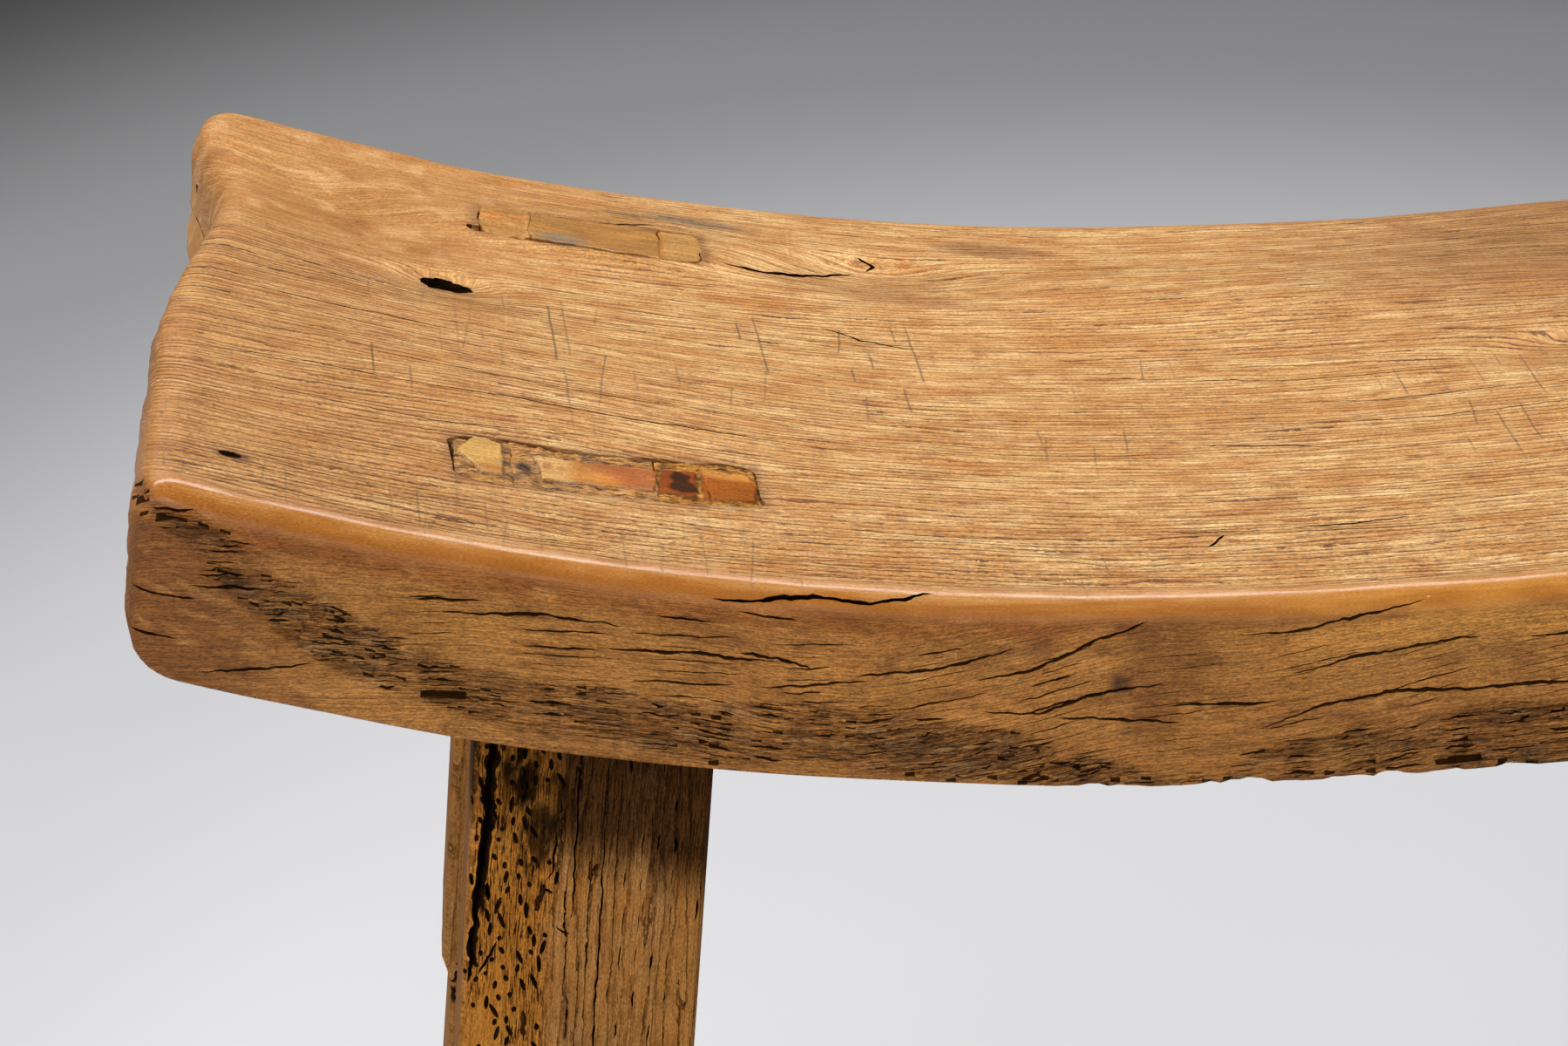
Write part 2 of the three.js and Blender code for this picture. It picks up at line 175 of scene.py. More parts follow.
@dataclass(frozen=True)
class Blotch:
    """A soft oval patch, turned by an angle in degrees."""

    u: float
    v: float
    length: float
    height: float
    turn: float = 0.0
    strength: float = 1.0
    edge: float = 0.5
    ragged: float = 0.3

    def cover(self, u: Array, v: Array) -> Array:
        """The patch's strength at each place.

        Args:
            u: places along the map.
            v: places up the map.

        Returns:
            An array from 0 to the patch's strength.
        """
        angle = math.radians(self.turn)
        du, dv = u - self.u, v - self.v
        a = (du * math.cos(angle) + dv * math.sin(angle)) / (self.length / 2)
        b = (dv * math.cos(angle) - du * math.sin(angle)) / (self.height / 2)
        far = np.hypot(a, b)
        near = far < 2.5
        far[near] += self.ragged * layered(31, 1.7 * a[near] + self.u, 1.7 * b[near] + self.v)
        return self.strength * (1.0 - smooth(1.0 - self.edge, 1.0 + self.edge, far))


@dataclass(frozen=True)
class Panel:
    """A patch with straight sides, its corners given in turn."""

    corners: tuple[tuple[float, float], ...]
    edge: float = 0.35

    def inside(self, u: Array, v: Array) -> Array:
        """How far each place is inside the sides, with some raggedness.

        Args:
            u: places along the map.
            v: places up the map.

        Returns:
            An array of millimetres, below zero outside.
        """
        points = np.array(self.corners, float)
        turn = np.roll(points, -1, axis=0)
        area = np.sum(points[:, 0] * turn[:, 1] - turn[:, 0] * points[:, 1])
        least = np.full(u.shape, 1e9)
        for start, finish in zip(points, turn):
            along = (finish - start) / np.linalg.norm(finish - start) * np.sign(area)
            least = np.minimum(least, along[0] * (v - start[1]) - along[1] * (u - start[0]))
        return least + 0.5 * layered(37, u / 3.1, v / 2.6)

    def cover(self, u: Array, v: Array) -> Array:
        """The patch's strength at each place."""
        return smooth(-self.edge, self.edge, self.inside(u, v))

    def rim(self, u: Array, v: Array, width: float = 0.6) -> Array:
        """A thin line round the patch."""
        return 1.0 - smooth(0.2 * width, width, np.abs(self.inside(u, v)))


def most(marks: tuple, u: Array, v: Array) -> Array:
    """The strongest of several marks at each place.

    Args:
        marks: what is laid on a side.
        u: places along the map.
        v: places up the map.

    Returns:
        An array, zero where there is no mark.
    """
    cover = np.zeros(u.shape)
    for mark in marks:
        cover = np.maximum(cover, mark.cover(u, v))
    return cover


def scattered(
    seed: int,
    u: tuple[float, float, float],
    v: tuple[float, float, float],
    size: tuple[float, float, float],
    chance: Callable[[Array, Array], Array],
    slope: Callable[[Array], Array],
    upright: bool = False,
) -> tuple[Crack, ...]:
    """Cracks strewn over a map, no two of which touch.

    Args:
        seed: picks the cracks.
        u: the map's start, end and cell size along u.
        v: the same along v.
        size: the longest length, the most width and the depth.
        chance: gives how likely a crack is at places on the map.
        slope: gives how far v rises with u there, or u with v where they stand upright.
        upright: whether they run along v.

    Returns:
        The cracks.
    """
    cells = [np.arange(int((high - low) / step)) for low, high, step in (u, v)]
    i, j = (grid.ravel() for grid in np.meshgrid(*cells, indexing="ij"))
    pick = [hashed(seed + k, i, j) for k in range(5)]
    middle_u = u[0] + (i + 0.5 + 0.12 * (pick[0] - 0.5)) * u[2]
    middle_v = v[0] + (j + 0.5 + 0.3 * (pick[1] - 0.5)) * v[2]
    reach = size[0] * (0.35 + 0.65 * pick[3]) / 2
    rise = slope(middle_u) * reach
    du, dv = (rise, reach) if upright else (reach, rise)
    width = size[1] * (0.3 + 0.7 * pick[4] ** 3)
    shown = pick[2] < chance(middle_u, middle_v)
    parts = (part[shown] for part in (middle_u, middle_v, du, dv, width))
    return tuple(
        Crack(((a - c, b - d), (a, b), (a + c, b + d)), w, size[2]) for a, b, c, d, w in zip(*parts)
    )


@dataclass
class Surface:
    """What the finishes and the carving read at each vertex of a piece."""

    along: Array
    across: Array
    rot: Array
    polish: Array
    warm: Array
    lines: Array
    pores: Array
    scratch: Array
    depth: Array
    paint: Array

    @classmethod
    def plain(cls, along: Array, across: Array) -> "Surface":
        """A surface with even grain and no marks.

        Args:
            along: places along the grain.
            across: places across it.

        Returns:
            The surface.
        """
        zeros = [np.zeros(len(along)) for _ in range(5)]
        lines, pores = np.ones(len(along)), np.full(len(along), 0.5)
        paint = np.tile((*linear(0xB08040)[:3], 0.0), (len(along), 1))
        return cls(along, across, *zeros[:3], lines, pores, *zeros[3:], paint)

    def colour(self, share: Array | float, tone: int) -> None:
        """Lays a colour over the wood, as strongly as the share.

        Args:
            share: from 0 to 1, one for all places or one for each.
            tone: the colour, as a hexadecimal number.
        """
        alpha = (np.clip(share, 0.0, 1.0) * np.ones(len(self.along)))[:, None]
        kept = self.paint[:, 3:] * (1.0 - alpha)
        total = kept + alpha
        added = np.array(linear(tone)[:3]) * alpha
        mixed = (self.paint[:, :3] * kept + added) / np.maximum(total, 1e-6)
        self.paint[:, :3] = np.where(total > 1e-4, mixed, self.paint[:, :3])
        self.paint[:, 3:] = total


# Meshes


def place(points: Array, matrix: Array) -> Array:
    """Points carried by a matrix."""
    return points @ matrix[:3, :3].T + matrix[:3, 3]


def unplace(points: Array, matrix: Array) -> Array:
    """Points carried back by a matrix."""
    return (points - matrix[:3, 3]) @ matrix[:3, :3]


def new_object(name: str, points: Array, faces: list) -> bpy.types.Object:
    """Makes an object from points in millimetres, with doubles merged and its faces outwards.

    Args:
        name: the object's.
        points: in millimetres.
        faces: the points of each face.

    Returns:
        The object, linked to the scene.
    """
    mesh = bpy.data.meshes.new(name)
    mesh.from_pydata((points * MM).tolist(), [], faces)
    shape = bmesh.new()
    shape.from_mesh(mesh)
    bmesh.ops.remove_doubles(shape, verts=shape.verts, dist=1e-6)
    bmesh.ops.recalc_face_normals(shape, faces=shape.faces)
    shape.to_mesh(mesh)
    shape.free()
    obj = bpy.data.objects.new(name, mesh)
    bpy.context.scene.collection.objects.link(obj)
    return obj


def gathered(name: str, solids: list[Solid]) -> bpy.types.Object:
    """One object from several solids that don't touch.

    Args:
        name: the object's.
        solids: points and faces of each solid.

    Returns:
        The object.
    """
    points, faces, start = [], [], 0
    for some, sides in solids:
        points.append(some)
        faces += [[start + i for i in side] for side in sides]
        start += len(some)
    return new_object(name, np.concatenate(points), faces)


def loft(name: str, rings: Array) -> bpy.types.Object:
    """A closed skin over rings of points, the first and last of which have no area.

    Args:
        name: the object's.
        rings: rings by points by three coordinates.

    Returns:
        The object.
    """
    count, size = rings.shape[:2]
    grid = np.arange(count * size).reshape(count, size)
    turned = np.roll(grid, -1, axis=1)
    quads = np.stack([grid[:-1], turned[:-1], turned[1:], grid[1:]], axis=-1)
    return new_object(name, rings.reshape(-1, 3), quads.reshape(-1, 4).tolist())


def prism(lower: Array, upper: Array) -> Solid:
    """A solid between two rings of points, with flat ends.

    Args:
        lower: the first ring.
        upper: the second, point for point over the first.

    Returns:
        Its points and faces.
    """
    size = len(lower)
    faces = [list(range(size)), list(range(size, 2 * size))]
    for i in range(size):
        j = (i + 1) % size
        faces.append([i, j, size + j, size + i])
    return np.concatenate([lower, upper]), faces


def blob(centre: Array, size: tuple, seed: int, ragged: float) -> Solid:
    """A ragged ball with a size along each axis, as a tool for holes and chips.

    Args:
        centre: of the ball.
        size: its half size along each axis.
        seed: picks the random draw.
        ragged: how uneven it is.

    Returns:
        Its points and faces.
    """
    shape = bmesh.new()
    bmesh.ops.create_icosphere(shape, subdivisions=4, radius=1.0)
    ways = np.array([v.co[:] for v in shape.verts])
    faces = [[v.index for v in face.verts] for face in shape.faces]
    shape.free()
    swell = 1.0 + ragged * layered(seed, *(ways.T * 1.6))
    return centre + ways * swell[:, None] * size, faces


def points_of(obj: bpy.types.Object) -> Array:
    """The vertices of an object, in millimetres.

    Args:
        obj: the object.

    Returns:
        An array of places.
    """
    flat = np.empty(len(obj.data.vertices) * 3, dtype=np.float32)
    obj.data.vertices.foreach_get("co", flat)
    return flat.reshape(-1, 3).astype(float) / MM


def normals_of(obj: bpy.types.Object) -> Array:
    """The normals at the vertices of an object.

    Args:
        obj: the object.

    Returns:
        An array of directions.
    """
    flat = np.empty(len(obj.data.vertices) * 3, dtype=np.float32)
    obj.data.vertex_normals.foreach_get("vector", flat)
    return flat.reshape(-1, 3).astype(float)


def set_points(obj: bpy.types.Object, points: Array) -> None:
    """Moves the vertices of an object to places in millimetres."""
    obj.data.vertices.foreach_set("co", (points * MM).astype(np.float32).ravel())
    obj.data.update()


def tree_of(obj: bpy.types.Object) -> BVHTree:
    """A search tree of an object's surface as it is now."""
    mesh = obj.data
    return BVHTree.FromPolygons([v.co for v in mesh.vertices], [p.vertices for p in mesh.polygons])


def freshly_cut(obj: bpy.types.Object, before: BVHTree) -> Array:
    """Which faces of an object lie off its surface before it was cut."""
    return np.array([before.find_nearest(face.center)[3] > 0.13 * MM for face in obj.data.polygons])


def faces_among(obj: bpy.types.Object, chosen: Array) -> Array:
    """Which faces have all their vertices among the chosen ones."""
    return np.array([all(chosen[i] for i in face.vertices) for face in obj.data.polygons])


class Cut(Enum):
    """How one solid changes another."""

    AWAY = "DIFFERENCE"
    JOIN = "UNION"


def combine(obj: bpy.types.Object, tool: bpy.types.Object, cut: Cut) -> None:
    """Cuts a tool's solid out of an object or joins it on, and removes the tool.

    Args:
        obj: the object that is changed.
        tool: the solid, which is removed.
        cut: what is done with it.
    """
    before = len(obj.data.vertices)
    for solver in ("MANIFOLD", "EXACT"):
        modifier = obj.modifiers.new("cut", "BOOLEAN")
        modifier.operation = cut.value
        modifier.solver = solver
        modifier.object = tool
        depsgraph = bpy.context.evaluated_depsgraph_get()
        mesh = bpy.data.meshes.new_from_object(obj.evaluated_get(depsgraph))
        obj.modifiers.clear()
        if len(mesh.vertices) not in (0, before):
            break
        LOG.info("%s: %s left the solid as it was", obj.name, solver)
    old, obj.data = obj.data, mesh
    bpy.data.meshes.remove(old)
    bpy.data.objects.remove(tool)


def rounded_loop(width: float, depth: float, radius: float, steps: tuple, arc: int) -> Array:
    """Points round a rounded rectangle, from its right side on anticlockwise.

    Args:
        width: its size along X.
        depth: its size along Y.
        radius: of its corners.
        steps: how many along the back, left, front and right sides.
        arc: how many round each corner.

    Returns:
        An array of points.
    """
    x, y = width / 2 - radius, depth / 2 - radius
    centres = ((x, y), (-x, y), (-x, -y), (x, -y))
    points = []
    for quarter, (cx, cy) in enumerate(centres):
        for step in range(arc + 1):
            angle = (quarter + step / arc) * math.pi / 2
            points.append((cx + radius * math.cos(angle), cy + radius * math.sin(angle)))
        nx, ny = centres[(quarter + 1) % 4]
        turn = (quarter + 1) * math.pi / 2
        finish = (nx + radius * math.cos(turn), ny + radius * math.sin(turn))
        count = steps[quarter]
        start = points[-1]
        for step in range(1, count):
            points.append(tuple(a + (b - a) * step / count for a, b in zip(start, finish)))
    return np.array(points)


# Finishes


def linear(colour: int) -> tuple[float, float, float, float]:
    """An sRGB hex colour as linear red, green, blue and alpha."""
    parts = ((colour >> shift & 255) / 255 for shift in (16, 8, 0))
    return (*((p / 12.92 if p <= 0.04045 else ((p + 0.055) / 1.055) ** 2.4) for p in parts), 1.0)


def add(
    tree: bpy.types.NodeTree,
    kind: str,
    *inputs: object,
    out: int | str = 0,
    named: dict | None = None,
    **settings: object,
) -> bpy.types.NodeSocket | bpy.types.Node:
    """Adds a node to a tree.

    Args:
        tree: the node tree.
        kind: the node's type.
        inputs: for its first inputs, values or the sockets that feed them.
        out: which output to give back.
        named: the same as inputs, by name or number.
        settings: the node's properties.

    Returns:
        The output, or the node itself where it has none.
    """
    node = tree.nodes.new(kind)
    for name, value in settings.items():
        setattr(node, name, value)
    for key, value in [*enumerate(inputs), *(named or {}).items()]:
        if isinstance(value, bpy.types.NodeSocket):
            tree.links.new(value, node.inputs[key])
        else:
            node.inputs[key].default_value = value
    return node.outputs[out] if len(node.outputs) else node


MATH, RANGE, MIX = "ShaderNodeMath", "ShaderNodeMapRange", "ShaderNodeMix"
VECTOR, SPLIT = "ShaderNodeVectorMath", "ShaderNodeSeparateXYZ"
WHITE = "ShaderNodeTexWhiteNoise"


@dataclass(frozen=True)
class WoodFinish:
    """Old ring-porous wood whose pattern follows the grain on a piece.

    Lengths are in millimetres. In each year's ring the open early wood has worn away and holds
    dirt, so it shows as a dark line with a soft brown edge between harder, paler ridges. Open
    pores show as short dashes.
    """

    name: str
    pale: int
    deep: int
    line: int
    warm: int
    amber: int
    mottle: int
    ring: float = 1.9
    fine: float = 0.42
    contrast: float = 1.5
    ink: float = 0.95
    valley: float = 0.75
    pore_length: float = 2.8
    pore_width: float = 0.34
    pore_ink: float = 0.9
    roughness: float = 0.6
    polished: float = 0.17
    relief: float = 0.45
    specular: float = 0.38
    stain_and_light_share: float = 1.0

    def streaks(
        self, tree: bpy.types.NodeTree, length: float, width: float, detail: float, seed: float
    ) -> bpy.types.NodeSocket:
        """Noise drawn out along the grain to streaks of a length and width.

        Args:
            tree: gets the nodes.
            length: of a streak, in millimetres.
            width: of a streak, in millimetres.
            detail: how much fine structure it has.
            seed: an offset that sets streaks apart.

        Returns:
            A socket with values from 0 to 1.
        """
        grain = add(tree, "ShaderNodeAttribute", attribute_name="grain", out="Vector")
        size = (1.0 / length, 1.0 / width, 1.0)
        scaled = add(tree, VECTOR, grain, size, (0.0, 0.0, seed), operation="MULTIPLY_ADD")
        links = {"Vector": scaled, "Scale": 1.0, "Detail": detail, "Roughness": 0.62}
        return add(tree, "ShaderNodeTexNoise", named=links, out="Fac")

    def knife_cuts(
        self, tree: bpy.types.NodeTree, pitch: float, reach: float, lean: float, seed: float
    ) -> bpy.types.NodeSocket:
        """Straight thin cuts across the seat, one to a cell, some left out.

        Args:
            tree: gets the nodes.
            pitch: size of a cell, in millimetres.
            reach: length of a cut, as a share of its cell.
            lean: how far cuts lean from straight across.
            seed: an offset that sets layers of cuts apart.

        Returns:
            A socket that is 1 in a cut.
        """
        where = add(tree, "ShaderNodeTexCoord", out="Object")
        spot = add(tree, VECTOR, where, named={"Scale": 1000.0}, operation="SCALE")
        x, y, _ = add(tree, SPLIT, spot).node.outputs
        links = {"Vector": spot, "Scale": 0.09, "Detail": 1.0}
        wander = add(tree, "ShaderNodeTexNoise", named=links, out="Fac")
        bent = add(tree, MATH, wander, 0.8, x, operation="MULTIPLY_ADD")
        column = add(tree, MATH, bent, 1.0 / pitch, seed, operation="MULTIPLY_ADD")
        number = add(tree, MATH, column, operation="FLOOR")
        offset = add(tree, WHITE, named={"W": number}, noise_dimensions="1D", out="Value")
        shifted = add(tree, MATH, offset, 7.0, operation="MULTIPLY")
        row = add(tree, MATH, y, 1.0 / reach, shifted, operation="MULTIPLY_ADD")
        line_number = add(tree, MATH, row, operation="FLOOR")
        cell = add(tree, "ShaderNodeCombineXYZ", number, line_number, seed)
        picks = add(tree, WHITE, cell, noise_dimensions="3D", out="Color")
        aside, length, chance = add(tree, SPLIT, picks).node.outputs
        row_share = add(tree, MATH, row, operation="FRACT")
        in_row = add(tree, MATH, row_share, 0.5, operation="SUBTRACT")
        column_share = add(tree, MATH, column, operation="FRACT")
        in_column = add(tree, MATH, column_share, 0.72, operation="SUBTRACT")
        centre = add(tree, MATH, aside, 0.44, in_column, operation="MULTIPLY_ADD")
        leaning = add(tree, MATH, in_row, lean, centre, operation="MULTIPLY_ADD")
        beside = add(tree, MATH, leaning, operation="ABSOLUTE")
        gap = add(tree, MATH, beside, pitch, operation="MULTIPLY")
        line = add(tree, RANGE, gap, 0.1, 0.4, 1.0, 0.0, interpolation_type="SMOOTHSTEP")
        half = add(tree, MATH, length, 0.36, 0.1, operation="MULTIPLY_ADD")
        from_middle = add(tree, MATH, in_row, operation="ABSOLUTE")
        left = add(tree, MATH, half, from_middle, operation="SUBTRACT")
        ends = add(tree, RANGE, left, 0.0, 0.05, 0.0, 1.0)
        shown = add(tree, RANGE, chance, 0.5, 0.9, 0.0, 0.9)
        whole = add(tree, MATH, line, ends, operation="MULTIPLY")
        return add(tree, MATH, whole, shown, operation="MULTIPLY")

    def build(self) -> bpy.types.Material:
        """Makes the material.

        Returns:
            The material, with its nodes laid from the grain outwards.
        """
        material = bpy.data.materials.new(self.name)
        material.use_nodes = True
        tree = material.node_tree
        tree.nodes.clear()
        grain, marks, tones = (
            add(tree, SPLIT, add(tree, "ShaderNodeAttribute", attribute_name=name, out="Vector"))
            for name in ("grain", "marks", "tones")
        )
        _, across, piece = grain.node.outputs
        rot, polish, warm = marks.node.outputs
        lines, pore_share, scratch = tones.node.outputs
        painted = add(tree, "ShaderNodeAttribute", attribute_name="paint").node.outputs

        # Rings, with their spacing and darkness varied from year to year
        wander = self.streaks(tree, 75.0, 7.0, 3.0, 31.0)
        count = add(tree, MATH, across, 1.0 / self.ring, operation="MULTIPLY")
        count = add(tree, MATH, wander, 4.2, count, operation="MULTIPLY_ADD")
        jagged = self.streaks(tree, 2.6, 1.3, 2.0, 37.0)
        count = add(tree, MATH, jagged, 0.55, count, operation="MULTIPLY_ADD")
        share = add(tree, MATH, count, operation="FRACT")
        year = add(tree, MATH, count, operation="FLOOR")
        year = add(tree, MATH, year, piece, operation="ADD")
        pick = add(tree, WHITE, named={"W": year}, noise_dimensions="1D", out="Value")
        gaps = self.streaks(tree, 26.0, 2.5, 2.0, 41.0)
        broken = add(tree, RANGE, gaps, 0.36, 0.6, 0.15, 1.0)
        narrow = add(tree, RANGE, share, 0.03, 0.24, 1.0, 0.0, interpolation_type="SMOOTHSTEP")
        wide = add(tree, RANGE, share, 0.0, 0.62, 1.0, 0.0, interpolation_type="SMOOTHSTEP")
        calm = add(tree, MATH, 1.0, polish, operation="SUBTRACT", use_clamp=True)
        shown = add(tree, MATH, lines, calm, operation="MULTIPLY")
        ink = add(tree, MATH, pick, 0.85, 0.15, operation="MULTIPLY_ADD")
        for layer in (narrow, broken, shown):
            ink = add(tree, MATH, ink, layer, operation="MULTIPLY")
        valley = add(tree, MATH, wide, shown, operation="MULTIPLY")

        # Fibres, soft bands, broad clouds, grit and pores
        fine = self.streaks(tree, 34.0, self.fine, 4.0, 1.0)
        band = self.streaks(tree, 150.0, 4.5, 2.0, 11.0)
        cloud = self.streaks(tree, 19.0, 8.0, 4.0, 23.0)
        grit = self.streaks(tree, 0.9, 0.4, 3.0, 67.0)
        holes = self.streaks(tree, self.pore_length, self.pore_width, 1.0, 53.0)
        pores = add(tree, RANGE, holes, 0.55, 0.63, 0.0, 1.0, interpolation_type="SMOOTHSTEP")
        near_line = add(tree, MATH, valley, 0.6, 0.4, operation="MULTIPLY_ADD")
        for layer in (near_line, pore_share, calm):
            pores = add(tree, MATH, pores, layer, operation="MULTIPLY")

        # Colour of the clean wood, then what is laid over it
        half = self.contrast / 2
        spread = add(tree, RANGE, fine, 0.28, 0.72, 0.55 - half, 0.55 + half)
        soft = add(tree, RANGE, band, 0.4, 0.7, 0.0, 0.6)
        haze = add(tree, RANGE, cloud, 0.42, 0.64, 0.0, 0.7)
        mottle = add(tree, RANGE, self.streaks(tree, 8.0, 1.9, 3.0, 29.0), 0.48, 0.66, 0.0, 0.6)
        warmth = add(tree, MATH, warm, 0.85, operation="MULTIPLY")
        lift = add(tree, RANGE, fine, 0.3, 0.7, 0.6, 1.4)
        shade = add(tree, RANGE, cloud, 0.3, 0.7, 1.2, 0.8)
        lift = add(tree, MATH, lift, shade, operation="MULTIPLY")
        # The painted layer: stains and dirt, and also painted shade and light where a piece has
        # them.
        tinted = add(tree, VECTOR, painted["Color"], named={"Scale": lift}, operation="SCALE")
        stain_and_painted_light = add(tree, MATH, painted["Alpha"], self.stain_and_light_share, operation="MULTIPLY")
        shine = add(tree, MATH, polish, 0.55, operation="MULTIPLY")
        wood = linear(self.deep)
        for amount, tone in (
            (spread, linear(self.pale)),
            (soft, linear(self.deep)),
            (haze, linear(self.warm)),
            (mottle, linear(self.mottle)),
            (warmth, linear(self.warm)),
            (stain_and_painted_light, tinted),
            (shine, linear(self.amber)),
        ):
            wood = add(tree, MIX, amount, named={6: wood, 7: tone}, data_type="RGBA", out=2)

        # Dirt in the rings and pores, knife cuts and rot
        knife = add(
            tree, MATH, self.knife_cuts(tree, 5.6, 46.0, 0.4, 3.0),
            self.knife_cuts(tree, 11.0, 44.0, -0.3, 17.0), operation="MAXIMUM",
        )
        knife = add(tree, MATH, knife, scratch, operation="MULTIPLY")
        flecks = add(tree, RANGE, self.streaks(tree, 5.6, 0.36, 4.0, 71.0), 0.545, 0.585, 0.0, 1.0)
        decay = add(tree, MATH, rot, flecks, operation="MULTIPLY", use_clamp=True)
        brown = add(tree, "ShaderNodeGamma", wood, 1.75)
        for layer, strength, tone in (
            (valley, self.valley, brown),
            (ink, self.ink, linear(self.line)),
            (pores, self.pore_ink, linear(self.line)),
            (knife, 0.85, linear(0x5A4630)),
            (decay, 1.0, linear(0x1C130B)),
        ):
            amount = add(tree, MATH, layer, strength, operation="MULTIPLY")
            wood = add(tree, MIX, amount, named={6: wood, 7: tone}, data_type="RGBA", out=2)
        speck = add(tree, RANGE, grit, 0.3, 0.68, 0.56, 1.38)
        wood = add(tree, VECTOR, wood, named={"Scale": speck}, operation="SCALE")

        # Relief and gloss
        rough_grit = add(tree, MATH, grit, calm, operation="MULTIPLY")
        fibres = add(tree, MATH, calm, 0.52, 0.03, operation="MULTIPLY_ADD")
        height = add(tree, MATH, fine, fibres, operation="MULTIPLY")
        for layer, depth in (
            (rough_grit, 0.35), (valley, -0.75), (ink, -0.9), (pores, -0.6), (knife, -0.5),
            (decay, -1.5),
        ):
            height = add(tree, MATH, layer, depth, height, operation="MULTIPLY_ADD")
        links = {"Height": height, "Distance": self.relief * MM, "Strength": 1.0}
        bump = add(tree, "ShaderNodeBump", named=links)
        gloss = add(tree, RANGE, polish, 0.0, 1.0, self.roughness - 0.1, self.polished - 0.1)
        gloss = add(tree, MATH, grit, 0.2, gloss, operation="MULTIPLY_ADD")
        gloss = add(tree, MATH, decay, 0.3, gloss, operation="MULTIPLY_ADD", use_clamp=True)
        links = {
            "Base Color": wood,
            "Roughness": gloss,
            "Normal": bump,
            "IOR": 1.45,
            "Specular IOR Level": self.specular,
        }
        add(tree, "ShaderNodeOutputMaterial", add(tree, "ShaderNodeBsdfPrincipled", named=links))
        return material


class Finish(Enum):
    """The finishes on the stool."""

    # Old elm, hewn, waxed and rubbed: honey wood with dark rings, glossy only where it is rubbed
    SEAT = WoodFinish(
        "old_elm_waxed", 0xF2CD90, 0xB9823B, 0x3A2008, 0xB8752A, 0xA2601A, 0x9C642A,
        contrast=1.65, ink=1.25,
    )
    # Old elm, sawn and never waxed: brown and dull, with strong dark lines up the leg
    LEG = WoodFinish(
        "old_elm_sawn", 0xBA8850, 0x8E602F, 0x150A03, 0xA86C30, 0x8A5A2A, 0x7A4E22,
        ring=3.2, ink=1.7, valley=0.35, pore_length=3.6, relief=0.35, specular=0.02,
    )
    # Old elm, hewn: a shade darker than the legs, with a faint sheen
    RAIL = WoodFinish(
        "old_elm_hewn", 0xA87640, 0x7C5026, 0x20130A, 0x9A6022, 0x87562A, 0x70471E,
        ring=2.6, specular=0.15,
    )
    # Softwood, worn flush: a smooth straw yellow with hardly a pore
    PALE = WoodFinish(
        "pale_softwood", 0xDDB06A, 0xC08E44, 0x6A4520, 0xBE7C2A, 0xB67C36, 0xA87030,
        ring=1.6, ink=0.35, valley=0.3, pore_ink=0.3, roughness=0.48, relief=0.1, contrast=0.6,
    )
    # Dense hardwood, worn flush: an even orange brown that stands out from the elm
    RED = WoodFinish(
        "orange_hardwood", 0xCC7E2C, 0x9C5414, 0x52280A, 0x94460C, 0xA05214, 0x8A4410,
        ring=3.4, ink=0.25, valley=0.3, pore_ink=0.3, roughness=0.5, relief=0.1, contrast=0.6,
        specular=0.08,
    )
    # Hardwood, whittled: plain mid brown with faint rings
    PEG = WoodFinish(
        "whittled_hardwood", 0xC0935A, 0x96693A, 0x4A3018, 0x96602A, 0xA67038, 0x8A5C2C,
        ring=2.2, ink=0.4, valley=0.3, roughness=0.55, relief=0.1,
    )
    # Wood in a check: rough and near black, partly dirt and partly painted shade, so a thin crack
    # reads deep
    OPEN = WoodFinish(
        "open_check_dirt_and_shade", 0x180D06, 0x0A0502, 0x080402, 0x120904, 0x120904, 0x0D0703,
        ring=1.8, roughness=0.85, relief=0.2, specular=0.05, stain_and_light_share=0.12,
    )


class Workshop:
    """Holds the materials and gives each finished piece its looks and its place on the part."""

    def __init__(self) -> None:
        """Makes a material for each finish."""
        self.materials = {finish: finish.value.build() for finish in Finish}

    def finish(
        self,
        obj: bpy.types.Object,
        surface: Surface,
        finishes: tuple[Finish, ...],
        slot: str,
        nodes: tuple[str, ...],
        seed: float,
    ) -> None:
        """Args:
            obj: the piece.
            surface: what its finish reads at each vertex.
            finishes: for each of its material slots.
            slot: not used.
            nodes: the CAD nodes that it stands for.
            seed: shifts the pattern from piece to piece.
        """
        mesh = obj.data
        layers = {
            "grain": (surface.along, surface.across, np.full(len(surface.along), seed)),
            "marks": (surface.rot, surface.polish, surface.warm),
            "tones": (surface.lines, surface.pores, surface.scratch),
        }
        for name, parts in layers.items():
            layer = mesh.attributes.new(name, "FLOAT_VECTOR", "POINT")
            layer.data.foreach_set("vector", np.stack(parts, 1).astype(np.float32).ravel())
        layer = mesh.attributes.new("paint", "FLOAT_COLOR", "POINT")
        layer.data.foreach_set("color", surface.paint.astype(np.float32).ravel())
        mesh.materials.clear()
        for finish in finishes:
            mesh.materials.append(self.materials[finish])
        mesh.shade_smooth()
        mesh.set_sharp_from_angle(angle=math.radians(48))
        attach(obj, "root")
        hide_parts(*nodes)
        LOG.info("%s: %d triangles", obj.name, sum(len(p.vertices) - 2 for p in mesh.polygons))


# The seat


